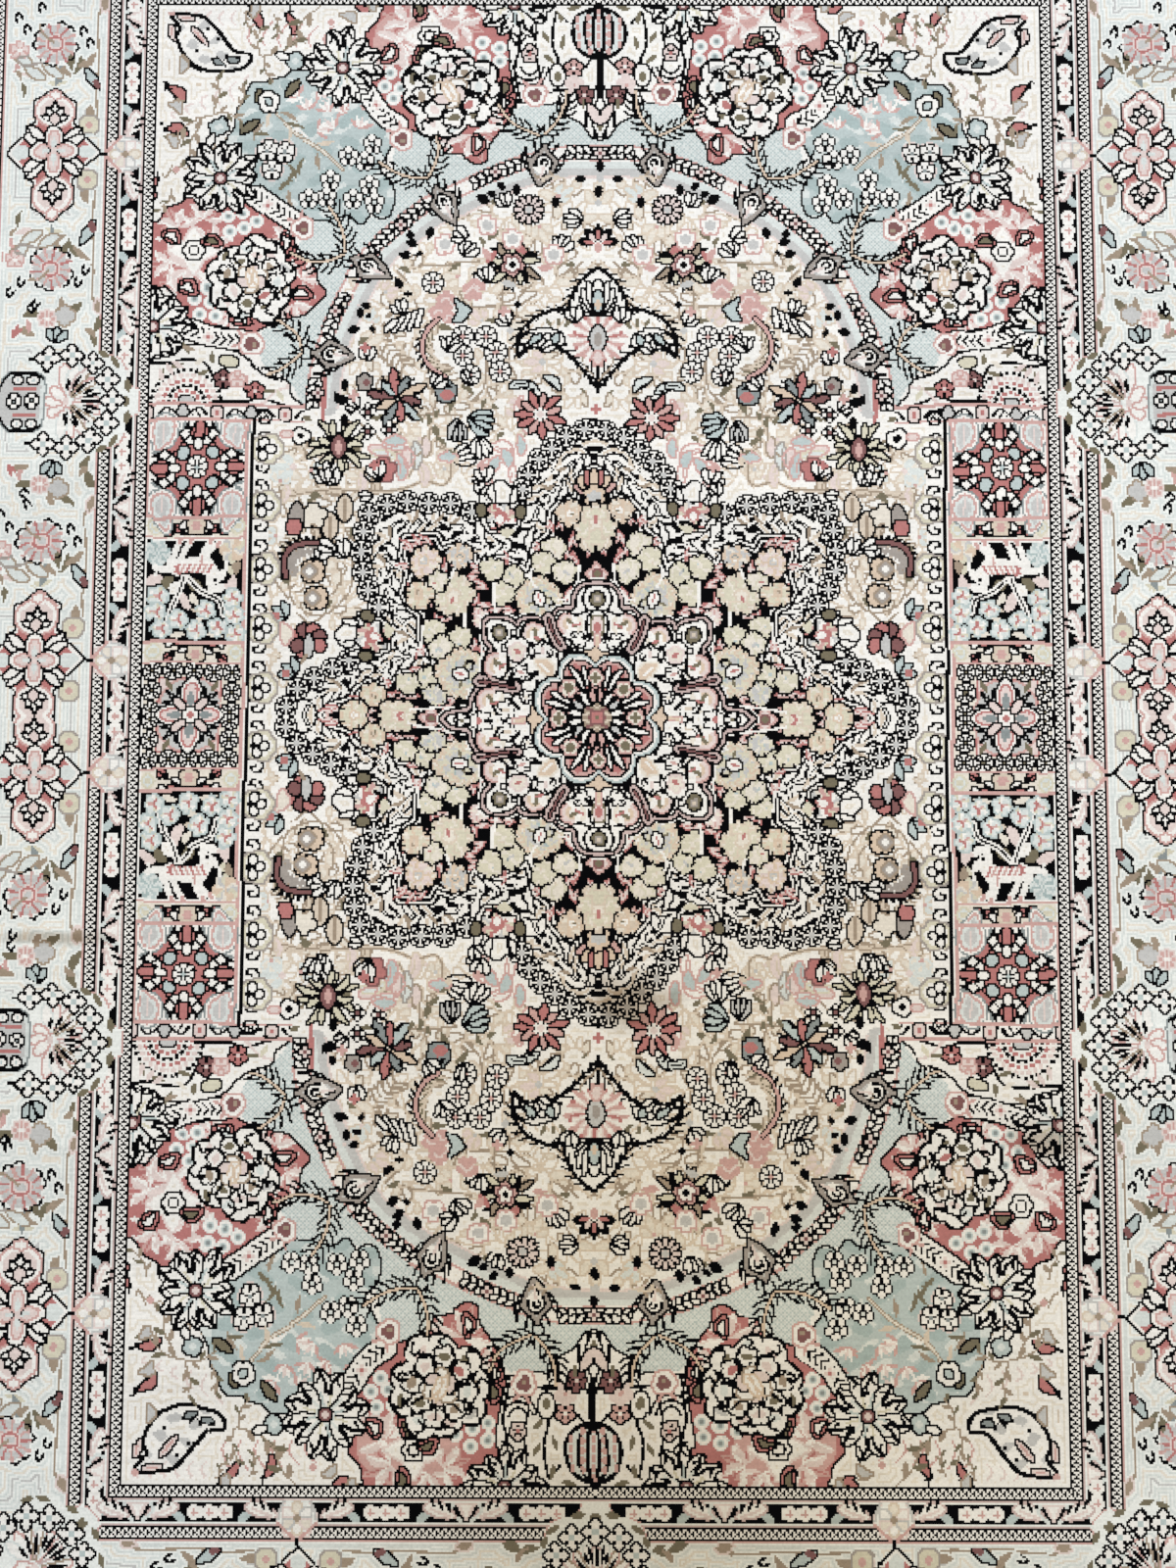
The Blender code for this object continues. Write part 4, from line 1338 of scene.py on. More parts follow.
# Blossoms of the star: x, y, radius, petals, then yarns of rim, middle, eye and speck.
STAR_BLOSSOMS = (
    (0, 106, 12.5, 9, BEIGE, SAGE, CREAM, ROSE), (15, 114, 7, 6, PEACH, BEIGE, IVORY, OLIVE),
    (24, 95, 6.8, 5, SAGE, CREAM, SAGE, BEIGE), (30, 87, 6.6, 5, SAGE, SAGE, CREAM, BEIGE),
    (18, 82, 6.6, 5, SAGE, CREAM, GREY, GREY), (47, 78, 6.6, 5, SAGE, SAGE, GREY, SLATE),
    (58, 82, 6.6, 5, SAGE, SAGE, CREAM, SKY), (52, 68, 6.6, 6, SAGE, SAGE, CREAM, BEIGE),
    (77, 89, 7.2, 7, PEACH, GREY, SLATE, IVORY), (96, 86, 8.6, 5, PEACH, BLUSH, GREY, IVORY),
    (80, 68, 12, 8, BEIGE, SAGE, CREAM, ROSE), (89, 75, 5.5, 7, SAGE, CREAM, SAGE, ROSE),
    (99, 68, 7.5, 7, PEACH, SAGE, PEACH, TAN), (77, 44, 6.6, 5, SAGE, SAGE, CREAM, SKY),
    (91, 49, 6.6, 5, SAGE, SAGE, CREAM, SKY), (87, 40, 6.6, 5, SAGE, CREAM, GREY, SKY),
    (94, 23, 6.4, 5, SAGE, SAGE, CREAM, SKY), (105, 20, 6.4, 5, SAGE, SAGE, CREAM, SKY),
    (90, 14, 6.4, 5, SAGE, GREY, SAGE, SKY), (123, 12, 7, 7, PEACH, SAGE, TAN, OLIVE),
    (110, 0, 10, 8, BEIGE, SAGE, CREAM, ROSE), (133, 1, 7.5, 7, PEACH, SAGE, IVORY, OLIVE),
    (65, 55, 5, 6, PINK, BLUSH, IVORY, OLIVE),
)


def medallion(chart):
    """The black star full of blossoms, and the ivory heart inside it."""
    chart.fill(polygon(list(MEDALLION) + [(-1, -1)]), BLACK, SAGE)
    for width, yarn in ((6.4, BLACK), (3.8, IVORY), (1.4, BLACK)):
        chart.line(MEDALLION, yarn, width)
    for x, y, length, turn in STAR_LEAVES:
        for spread, part in ((-24, 0.85), (0, 1.3)):
            chart.fill(leaf(x, y, length * part, length * 0.3, turn + spread, bend=1),
                       PINK if spread else ROSE)
            chart.fill(leaf(*step(x, y, turn + spread, 1.5), length * part * 0.7, length * 0.15,
                            turn + spread, bend=0.8), BLUSH)
    for turn, yarn in ((20, PINK), (45, PEACH), (70, ROSE), (90, PEACH)):
        chart.fill(leaf(0, 124, 13, 5, turn, belly=1.3), yarn, BLACK)
    chart.fill(lobed(0, 122, 6.5, 6, 0.3), PEACH, BLACK)
    chart.fill(lobed(0, 121, 4.5, 6, 0.3), GREY)
    for x, y, radius, petals, outer, inner, eye, speck in STAR_BLOSSOMS:
        blossom(chart, x, y, radius, petals, outer, inner, eye, speck)
    great_blossom(chart, 32, 66, 13, 70)
    great_blossom(chart, 76, 26, 13.5, 10)
    for x, y in ((0, 81), (92, 0)):
        chart.fill(lobed(x, y, 6.6, 4, 0.35, 0), PINK, BLACK)
        chart.fill(lobed(x, y, 4.6, 4, 0.35, 0), BLUSH)
        chart.fill(disc(x, y, 2.0), OLIVE, MAUVE)
    for points in (((10, 86), (11, 76), (16, 68), (22, 66)), ((36, 84), (37, 78), (34, 72)),
                   ((57, 74), (57, 62), (55, 56)), ((80, 82), (82, 76)), ((64, 40), (65, 33)),
                   ((98, 40), (97, 52)), ((74, 58), (74, 50)), ((72, 18), (72, 9), (92, 6), (104, 4))):
        chart.curve(points, IVORY, 1.4)
    heart(chart)


def petal_swirl(chart, x, y, radius, turn):
    """Curled petals in a lobe of the heart: soft pink and tan arcs round an olive stroke."""
    for reach, yarn, width in ((1.0, BLACK, 1.3), (0.84, PINK, 1.3), (0.64, BLUSH, 2.2),
                               (0.42, PEACH, 1.8)):
        arc = [step(x, y, turn + spread, radius * reach) for spread in (-75, -30, 20, 70)]
        chart.curve(arc, yarn, width)
    chart.curve([step(x, y, turn + 120, radius * 0.9), step(x, y, turn + 165, radius * 0.8),
                 step(x, y, turn + 210, radius * 0.9)], CREAM, 2.4)
    chart.line([step(x, y, turn + 180, radius * 0.45), step(x, y, turn + 40, radius * 0.35)], OLIVE, 2.2)
    chart.line([step(x, y, turn + 200, radius * 0.2), step(x, y, turn + 150, radius * 0.7)], ROSE, 1.4)


def tuft(chart, x, y, radius, turn=0, eye=BLUSH):
    """A small ivory flower with a broken black edge and short hooks between its petals."""
    chart.fill(ragged(x, y, radius + 1.3, 6, 0.3), BLACK)
    chart.fill(ragged(x, y, radius, 6, 0.34), IVORY)
    for k in range(3):
        a = turn + k * 120
        chart.line([step(x, y, a, radius * 0.5), step(x, y, a + 16, radius * 0.9)], BLACK, 1.2)
    chart.fill(oval(x, y, radius * 0.4, radius * 0.26, turn), eye)


def centre_star(chart):
    """The star in the very middle: rose lobes with black feathers, olive florets and a petalled eye."""
    for radius, yarn in ((39.0, BLACK), (37.2, SKY), (35.6, IVORY), (34.4, BLACK), (32.8, PINK)):
        chart.fill(lobed(0, 0, radius, 8, 0.24, 22.5), yarn)
    for k in range(8):
        a = 22.5 + k * 45
        chart.fill(leaf(*step(0, 0, a, 14), 18, 14, a, belly=1.2), ROSE, PINK)
        for spread, length in ((-19, 12), (-7, 15), (7, 14), (19, 12)):
            root = step(0, 0, a + spread * 0.6, 16)
            chart.fill(leaf(*root, length, 2.2, a + spread * 1.2, bend=0.6, belly=1.2),
                       (IVORY, CREAM)[spread > 8], BLACK)
        chart.line([step(0, 0, a, 17), step(0, 0, a, 27)], BLACK, 1.3)
    for k in range(8):
        a = k * 45
        x, y = step(0, 0, a, 22)
        chart.fill(ragged(x, y, 6.4, 6, 0.2), BLACK)
        chart.fill(ragged(x, y, 5.0, 6, 0.24), PINK)
        chart.fill(lobed(x, y, 3.8, 4, 0.3, a), CREAM)
        chart.fill(lobed(x, y, 2.8, 4, 0.3, a), OLIVE)
        for side in (-1, 1):
            chart.line([step(0, 0, a + side * 15, 15), step(0, 0, a + side * 12, 20)], BLACK, 1.6)
    chart.fill(lobed(0, 0, 16.5, 16, 0.14, 0), BLACK)
    for k in range(16):
        a = k * 22.5 + 11
        chart.fill(leaf(*step(0, 0, a, 7), 8.4, 2.6, a, belly=1.3), (IVORY, GREY, IVORY, PINK)[k % 4])
    chart.fill(ragged(0, 0, 9.4, 8, 0.25), BLACK)
    chart.fill(ragged(0, 0, 7.8, 8, 0.25), rays(0, 0, (TAN, BEIGE, TAN, MAUVE), 24))
    chart.fill(lobed(0, 0, 3.6, 4, 0.4, 45), ROSE, MAUVE)
    chart.fill(disc(0, 0, 1.4), OLIVE)


# Flowers round the heart: x, y, radius, direction and eye yarn.
TUFTS = (
    (10, 43, 4.4, 30, IVORY), (30, 36, 5.0, 80, BLUSH), (43, 25, 4.4, 20, PINK), (51, 6, 5.0, 0, BEIGE),
    (65, 0, 5.4, 50, ROSE), (40, 12, 3.0, 40, CREAM), (75, 0, 4.0, 10, OLIVE),
)


# Black scrolls of the heart.
HEART_LINES = (
    ((37, 24), (33, 24), (38, 21), (44, 20)), ((48, 24), (50, 20), (47, 19)),
    ((22, 34), (21, 28), (23, 22), (28, 19), (33, 20)), ((14, 38), (18, 34), (16, 30)),
    ((28, 46), (26, 40), (30, 42)), ((36, 32), (38, 36), (36, 40)), ((46, 14), (48, 10), (44, 6)),
    ((56, 4), (58, 8)), ((70, 6), (72, 3)), ((8, 34), (12, 32), (12, 28)), ((6, 60), (12, 58), (16, 60)),
    ((40, 50), (42, 44)), ((50, 32), (50, 26), (54, 22)), ((18, 44), (14, 42), (16, 38)),
)


def heart(chart):
    """The medallion's ivory heart: a blush rim with loops turned in, soft petals, tufts and the star."""
    outline = smooth(HEART, parts=4)
    for width, yarn in ((9.6, IVORY), (8.4, BLACK), (5.4, DUSTY), (2.6, BLACK)):
        chart.fill(ribbon(outline, width), yarn)
    chart.fill(polygon(outline + [(-1, -1), (-1, 74)]), IVORY, BLACK)
    for points in (((27, 55), (24, 46), (20, 39)), ((66, 22), (55, 19), (46, 17))):
        for width, yarn in ((8.2, BLACK), (5.6, DUSTY), (2.8, BLACK), (1.1, MAUVE)):
            chart.curve(points, yarn, width)
    for x, y, radius, turn in ((15, 52, 7.5, 20), (35, 45, 7.5, 60), (56, 29, 8, 20), (60, 11, 8, 40)):
        petal_swirl(chart, x, y, radius, turn)
    chart.fill(ring(0, 67, 8.0, 1.4), BLACK, on=(IVORY,))
    for x, y in ((0, 67), (54, 46)):
        chart.fill(disc(x, y, 5.0), BLACK)
        chart.fill(lobed(x, y, 4.0, 7, 0.2), OLIVE)
        chart.fill(disc(x, y, 1.2), BEIGE, TAUPE)
    for x, y in ((46, 46), (52, 38)):
        chart.fill(disc(x, y, 2.4), BLACK)
        chart.fill(disc(x, y, 1.2), IVORY)
    for x, y, radius, turn, eye in TUFTS:
        tuft(chart, x, y, radius, turn, eye)
    chart.fill(leaf(24, 21, 14, 7, 44, bend=1.5), PEACH, CREAM)
    chart.line([(26, 24), (32, 29)], IVORY, 1.2)
    chart.fill(lobed(44, 37, 7.6, 4, 0.16, 45), BLACK)
    chart.fill(lobed(44, 37, 6.4, 4, 0.2, 45), IVORY)
    chart.fill(lobed(44, 36, 4.0, 5, 0.3), CREAM, BLUSH)
    chart.fill(leaf(42, 34, 5, 2.6, 40), ROSE)
    for points in HEART_LINES:
        chart.curve(points, BLACK, 1.6)
    chart.fill(oval(0, 52, 6.8, 9.6), BLACK)
    chart.fill(oval(0, 52, 5.4, 8.4), IVORY)
    for side in (-1, 1):
        for dy in (-5, 0, 5):
            chart.line([(side * 3.2, 52 + dy), (side * 6.0, 53 + dy)], BLACK, 1.2)
    chart.fill(oval(0, 52, 3.0, 5.4), BLUSH, OLIVE)
    chart.fill(oval(0, 51, 1.9, 3.0), ROSE)
    for points in ([(0, 46), (0, 30)], [(46, 0), (30, 0)]):
        for width, yarn in ((4.4, PINK), (2.8, CREAM), (1.4, PEACH)):
            chart.line(points, yarn, width)
    for arrow in (((-7, 37), (-3, 37), (0, 40), (3, 37), (7, 37), (0, 27)),
                  ((37, -7), (37, -3), (40, 0), (37, 3), (37, 7), (27, 0))):
        chart.fill(polygon(arrow), PEACH, BLACK)
    centre_star(chart)


def scroll_strip(chart):
    """The column of small palmettes and double scrolls between the ivory field and the side panels."""
    chart.fill(polygon(((182, -1), (195, -1), (195, 166), (182, 166))), IVORY)
    for y in (0, 33, 66, 101, 134, 162):
        for side in (-1, 1):
            scroll = ((190, 10), (185, 9.5), (182.5, 6.5), (184, 3), (188, 2.5), (189, 5), (186.5, 6))
            chart.curve([(px, y + side * py) for px, py in scroll], BLACK, 1.5)
    for y in (16, 49, 83, 118, 150):
        chart.fill(lobed(184, y, 8.4, 5, 0.18, 180), SAGE, TAUPE)
        chart.fill(lobed(184, y, 6.6, 5, 0.18, 180), IVORY)
        for turn in (90, 180, 270):
            chart.fill(leaf(186, y, 6.0, 4.2, turn, belly=1.2), IVORY, BLACK)
        chart.line([(185, y), (189, y)], BLACK, 1.6)
    chart.line([(192, -1), (192, 166)], BLACK, 1.9)
    chart.line([(195, -1), (195, 166)], PINK, 1.6)


def panel_strip(chart, y, flip):
    """A narrow ivory band between two side panels, with a flower and leaf scrolls."""
    chart.fill(polygon(((196, y - 5), (249, y - 5), (249, y + 5), (196, y + 5))), CREAM)
    for side in (-1, 1):
        chart.fill(disc(222 + side * 23, y, 4.6), SAGE)
        chart.fill(ring(222 + side * 23, y, 2.6, 1.2), MIST)
        for k, (dx, dy, turn) in enumerate(((7, -3, 40), (9, 0, 150), (12, 1, 320), (14, -2, 70))):
            chart.fill(leaf(222 + side * dx, y + dy * flip, 7, 3.2, turn if side > 0 else 180 - turn),
                       IVORY if k % 2 else ROSE, BLACK)
        chart.line([(222 + side * 5, y - 4 * flip), (222 + side * 16, y + 4 * flip)], BLACK, 1.6)
    chart.fill(lobed(222, y + flip, 5.4, 5, 0.25, 90 * flip), BEIGE, BLACK)
    chart.fill(disc(222, y + flip, 2.6), PINK)


def cross_panel(chart):
    """The rose panel with a cross of flowers and a pale drop in each corner."""
    x, y = 222, 139
    chart.fill(polygon(((196, 113), (249, 113), (249, 165), (196, 165))), IVORY)
    chart.fill(lobed(x, y, 27, 8, 0.3, 0, sharp=True), ROSE, BLACK)
    for across in (-1, 1):
        for up in (-1, 1):
            corner = (x + 19.5 * across, y + 18.5 * up)
            turn = math.degrees(math.atan2(up, across))
            for grow, yarn in ((2.4, SLATE), (1.2, IVORY), (0.0, PINK), (-1.5, MIST), (-3.2, GREY)):
                chart.fill(oval(corner[0], corner[1] + up * 2, 6.6 + grow, 8.0 + grow), yarn)
                chart.fill(leaf(corner[0], corner[1] + up * 3, 13 + grow, 7.0 + grow,
                                90 - up * 180 + across * up * 14), yarn)
            chart.line([(corner[0], corner[1] - up * 4), (corner[0], corner[1] + up * 5)], BLUSH, 1.6)
            for side in (-1, 1):
                chart.curve([step(x, y, turn + side * 30, 26), step(x, y, turn + side * 22, 19),
                             step(x, y, turn, 15)], BLACK, 1.5)
                chart.curve([step(x, y, turn + side * 26, 27), step(x, y, turn + side * 18, 20)], SLATE,
                            1.4)
            chart.fill(disc(*step(x, y, turn, 11.5), 3.0), SKY, BLACK)
    for turn in (0, 90, 180, 270):
        for side in (-1, 1):
            chart.fill(leaf(*step(x, y, turn + side * 12, 13), 11, 4.4, turn + side * 24, bend=side * 2),
                       IVORY, BLACK)
            chart.fill(disc(*step(x, y, turn + side * 22, 20), 2.2), IVORY, BLACK)
            chart.line([step(x, y, turn + side * 9, 16), step(x, y, turn + side * 6, 24)], BLACK, 1.4)
        chart.fill(oval(*step(x, y, turn, 13), 2.6, 2.2, turn), IVORY, BLACK)
    stamp(chart, x, y, ROSETTE, SKY)
    for edge_x in (195.5, 249.5):
        chart.line([(edge_x, 113), (edge_x, 165)], PINK, 1.2)


def animal(chart, x, y):
    """A pale hoofed animal seen side-on, its head turned down to graze and its legs braced."""
    def at(points):
        return [(x + dx, y + dy) for dx, dy in points]

    for foot, knee, hip in (((-13, 13), (-8, 9), (-5, 2)), ((-9, 15), (-5, 9), (-2, 2)),
                            ((2, 15), (6, 9), (9, 2)), ((8, 15), (11, 9), (13, 2))):
        chart.curve(at((foot, knee, hip)), IVORY, 3.2)
        chart.line(at((foot, (foot[0] + 1.5, foot[1] - 2))), PINK, 2.2)
    chart.fill(polygon(smooth(at(((-9, -2), (-8, 4), (0, 5), (8, 4), (15, 5), (16, -1), (10, -6), (2, -5),
                                  (-5, -5))), True)), IVORY)
    chart.curve(at(((-7, 1), (-10, -4), (-9, -8))), IVORY, 6.0)
    chart.fill(polygon(smooth(at(((-17, -1), (-16, -7), (-12, -10), (-8, -13), (-6, -10), (-6, -5),
                                  (-9, -2), (-13, -3))), True)), IVORY)
    chart.curve(at(((-17, 2), (-17, -2), (-15, -5))), IVORY, 1.6)
    chart.fill(disc(*at(((-11, -8),))[0], 1.1), BLACK)
    chart.curve(at(((15, -2), (19, -2), (22, -1))), IVORY, 3.2)
    chart.line(at(((21, -1), (22, -5))), IVORY, 1.5)
    chart.curve(at(((-4, -5), (3, -4), (9, -5))), BLACK, 1.3)
    for k in range(7):
        chart.line(at(((-7 + 3.0 * k, -4), (-9 + 3.0 * k, 1))), PINK if k % 2 else ROSE, 1.3)
    chart.curve(at(((-4, 6), (-3, 2), (-5, 0))), PINK, 1.1)
    chart.curve(at(((9, -5), (10, -2), (12, 0))), ROSE, 1.3)


# Leaves on the branches: x, y, length, width, direction and yarn.
BRANCH_LEAVES = (
    (216, 72, 12, 5, 170, IVORY), (226, 78, 10, 6, 215, OLIVE), (234, 79, 10, 6, 310, OLIVE),
    (224, 70, 8, 4, 240, CREAM), (229, 70, 12, 6, 250, BLUSH), (231, 76, 10, 5, 300, IVORY),
    (240, 79, 11, 6, 325, BLUSH), (201, 80, 9, 5, 260, BLUSH), (206, 75, 7, 4, 200, BLUSH),
    (198, 88, 8, 5, 280, TAN), (203, 86, 7, 3, 250, SAGE), (246, 90, 8, 3, 250, SKY),
    (206, 44, 10, 4, 10, CREAM), (221, 44, 9, 5, 60, BEIGE), (228, 46, 9, 4, 340, CREAM),
    (217, 55, 9, 4, 320, CREAM), (246, 46, 7, 4, 120, CREAM), (222, 62, 5, 3, 250, BEIGE),
)


def animal_panel(chart):
    """The black panel: a grazing animal at its outer end, and branches of pale blue flowers."""
    chart.fill(polygon(((196, 42), (249, 42), (249, 99), (196, 99))), BLACK)
    for x, y, length, width, turn, yarn in BRANCH_LEAVES:
        chart.fill(leaf(x, y, length, width, turn, bend=1), yarn)
    chart.fill(ragged(202, 94, 7.5, 9, 0.2), rays(202, 94, (PEACH, SAGE, GREY, CREAM, PEACH), 15))
    chart.fill(ragged(243, 92, 7.5, 8, 0.16), rays(243, 92, (SKY, MIST, TEAL, MIST), 14))
    for points in (((227, 79), (219, 71), (209, 66), (206, 58)),
                   ((228, 79), (231, 70), (235, 62), (238, 52))):
        chart.curve(points, IVORY, 3.4)
        chart.curve(points, BLACK, 1.0)
    for x, y in ((201, 67), (200, 57), (216, 60), (209, 50), (232, 54), (243, 67), (244, 58), (241, 48),
                 (199, 46), (222, 48)):
        chart.fill(ragged(x, y, 6.2, 6, 0.26), SKY)
        chart.fill(ragged(x, y, 4.9, 6, 0.3), rays(x, y, (IVORY, MIST, MIST, SAGE), 13))
        for k in range(3):
            chart.line([(x, y), step(x, y, k * 120 + x, 2.6)], (ROSE, PINK)[k % 2], 1.2)
    animal(chart, 222, 85)


def court_panel(chart):
    """The centre panel: a frame of dark florets round a cross flower on grey."""
    chart.fill(polygon(((196, -1), (249, -1), (249, 29), (196, 29))), CREAM)
    chart.fill(polygon(((208, -1), (240, -1), (240, 20), (208, 20))), BLUSH, ROSE)
    chart.fill(polygon(smooth(((209, -3), (208, 8), (211, 15), (218, 19), (228, 19), (235, 15), (239, 8),
                               (238, -3)), True)), GREY, PINK)
    for x, y in [(201 + 10.8 * k, 24) for k in range(5)] + [(201, 13), (244, 13), (201, 2), (244, 2)]:
        stamp(chart, x, y, FRAME_FLORET, OLIVE)
    for turn, length in ((0, 16), (90, 19), (180, 16)):
        chart.fill(leaf(*step(223, 0, turn, 2), length, 10, turn, belly=1.1), IVORY, BLACK)
        chart.fill(leaf(*step(223, 0, turn, 3), length * 0.78, 6, turn, belly=1.1), BLUSH, ROSE)
        chart.fill(leaf(*step(223, 0, turn, 4), length * 0.5, 4, turn), SLATE)
    for turn in (45, 135):
        chart.fill(leaf(*step(223, 0, turn, 4), 9, 4, turn), BLUSH, BLACK)
        for side in (-1, 1):
            chart.curve([step(223, 0, turn + side * 22, 17), step(223, 0, turn + side * 8, 13),
                         step(223, 0, turn, 19)], BLACK, 1.5)
    for x, y, turn in ((213, 13, 120), (233, 13, 60)):
        chart.fill(leaf(x, y, 8, 3, turn), OLIVE)
    chart.fill(lobed(223, 0, 4.4, 4, 0.4, 0), IVORY, BLACK)
    chart.fill(disc(223, 0, 1.6), ROSE)


# The guards, in columns counted from the field: the black leaf band, lines and lattices in one guard.
GUARD = 28
BAND_START, BAND_END = 9, 19
LATTICE_WIDTH = 5
INNER_LINES = ((0, BLACK), (6, BLACK), (7, DUSTY), (8, PEARL), (9, BLACK), (18, BLACK), (19, PEARL),
               (20, DUSTY), (21, BLACK), (27, BLACK))
LATTICES = (1, 22)
LATTICE = (
    "XoooX",
    "XXoXo",
    "ooXoo",
    "oXXXo",
)

# The outer guard's first column, the main border's first and last, and its middle.
OUTER_GUARD = COLUMNS - GUARD
MAIN = (FIELD_X + GUARD, OUTER_GUARD)
MAIN_X = (MAIN[0] + MAIN[1]) / 2


def border_grounds(chart):
    """Lines, lattices and grounds of the borders, as rings round the field."""
    rows, columns = chart.yarns.shape
    x, y = np.meshgrid(np.arange(columns), np.arange(rows))
    out_x, out_y = x - FIELD_X, y - FIELD_Y
    ring_number = np.maximum(out_x, out_y)
    run = np.where(out_x >= out_y, y, x)
    crossed = np.array([[letter == "X" for letter in row] for row in LATTICE])
    chart.yarns[ring_number >= 0] = PEARL
    for start, inward in ((0, 1), (OUTER_GUARD - FIELD_X, -1)):
        column = ring_number - start if inward > 0 else start + GUARD - 1 - ring_number
        here = (column >= 0) & (column < GUARD) & (ring_number >= 0)
        chart.yarns[here] = IVORY
        chart.yarns[(column == GUARD) & (ring_number >= 0)] = PINK
        chart.yarns[here & (column >= BAND_START) & (column < BAND_END)] = BLACK
        for k, yarn in INNER_LINES:
            chart.yarns[here & (column == k)] = yarn
        for k in LATTICES:
            across = np.clip(column - k, 0, LATTICE_WIDTH - 1)
            strip = here & (column >= k) & (column < k + LATTICE_WIDTH)
            chart.yarns[strip & crossed[run % len(LATTICE), across]] = BLACK


# Motifs of the outer guard's black band, along the sides and the ends: place in knots and kind.
OUTER_SIDE_BAND = ((43, "cone"), (177, "up"), (193, "down"), (328, "cone"), (448, "up"), (461, "cone"),
                   (476, "down"), (496, "beads"))
OUTER_END_BAND = ((0, "beads"), (165, "cone"), (288, "beads"), (313, "up"), (326, "cone"), (341, "down"))


def leaf_band(chart, x, motifs):
    """The guard's black band: ragged blush leaves, blue slips, small cones and bead trios."""
    for y, kind in motifs:
        if kind == "beads":
            for dy in (-8, 0, 8):
                chart.fill(lobed(x, y + dy, 4.4, 5, 0.22, 90), IVORY)
                chart.line([(x - 2, y + dy + 0.5), (x + 2, y + dy + 0.5)], PINK, 0.9)
                chart.line([(x + 0.5, y + dy - 2), (x + 0.5, y + dy + 2)], PINK, 0.9)
        elif kind == "cone":
            chart.fill(polygon(((x - 5, y - 6), (x + 5, y), (x - 5, y + 6))), BLUSH)
            chart.fill(polygon(((x - 4, y - 3), (x + 3, y), (x - 4, y + 3))), IVORY)
            for side in (-1, 1):
                chart.curve([(x + 4, y + side * 3), (x - 1, y + side * 8), (x - 4, y + side * 7)], MIST,
                            1.6)
        else:
            lean = 1 if kind == "up" else -1
            foot = (x - 3.4, y - lean * 9.5)
            chart.fill(leaf(*foot, 20, 9.0, lean * 72, bend=lean * 1.0, belly=0.85), DUSTY)
            chart.fill(leaf(*step(*foot, lean * 72, 1.5), 17, 6.8, lean * 72, bend=lean * 1.2, belly=0.85),
                       IVORY)
            chart.line([step(*foot, lean * 72, 5), step(*foot, lean * 70, 16)], BLUSH, 1.6)
            for reach in (5, 9.5, 14):
                place = step(*foot, lean * 72, reach)
                chart.line([step(*place, 180, 5.5), step(*place, 180 - lean * 50, 2.4)], BLACK, 1.6)
            chart.fill(leaf(x + 4.4, y - lean * 12.5, 9.0, 4.2, lean * 118), SKY, on=(BLACK,))


# The same for the inner guard.
SIDE_BAND = ((0, "beads"), (17, "up"), (51, "down"), (76, "beads"), (104, "up"), (117, "cone"),
             (132, "down"), (148, "beads"), (203, "beads"), (224, "up"), (237, "cone"), (251, "down"),
             (276, "beads"), (302, "up"), (337, "down"), (362, "beads"), (388, "up"), (401, "cone"),
             (416, "beads"))
END_BAND = ((28, "beads"), (55, "up"), (68, "cone"), (82, "down"), (110, "beads"), (136, "up"),
            (176, "down"), (203, "beads"), (228, "up"), (241, "cone"), (254, "down"))


def bridge(chart, y):
    """A pale lobed flower that crosses the guard and comes to a point at a cartouche."""
    x = FIELD_X + 18
    chart.fill(polygon(((x + 2, y - 11), (x + 12, y), (x + 2, y + 11), (x - 4, y + 8), (x - 4, y - 8))),
               PEARL)
    chart.fill(lobed(x - 1, y, 10.2, 6, 0.26, 30), PEARL, BLUSH)
    for k in range(6):
        a = 60 * k
        chart.fill(leaf(*step(x - 1, y, a, 2), 6.5, 4.2, a, belly=1.2), (IVORY, CREAM)[k % 2],
                   (BEIGE, GREY, BLUSH)[k % 3])
    chart.fill(disc(x - 1, y, 1.6), TAN)
    for side in (-1, 1):
        chart.line([(x + 2, y + side * 10), (x + 7, y + side * 4), (x + 11, y)], PINK, 1.5)
        chart.curve([(x - 10, y + side * 7), (x - 5, y + side * 9), (x, y + side * 10)], GREY, 1.4)
        chart.fill(lobed(x + 20, y + side * 17, 5.5, 4, 0.1, 45), SAGE, TAUPE)
        chart.fill(disc(x + 20, y + side * 17, 1.8), PINK)
    chart.line([(x + 9, y), (x + 14, y)], BLACK, 1.3)


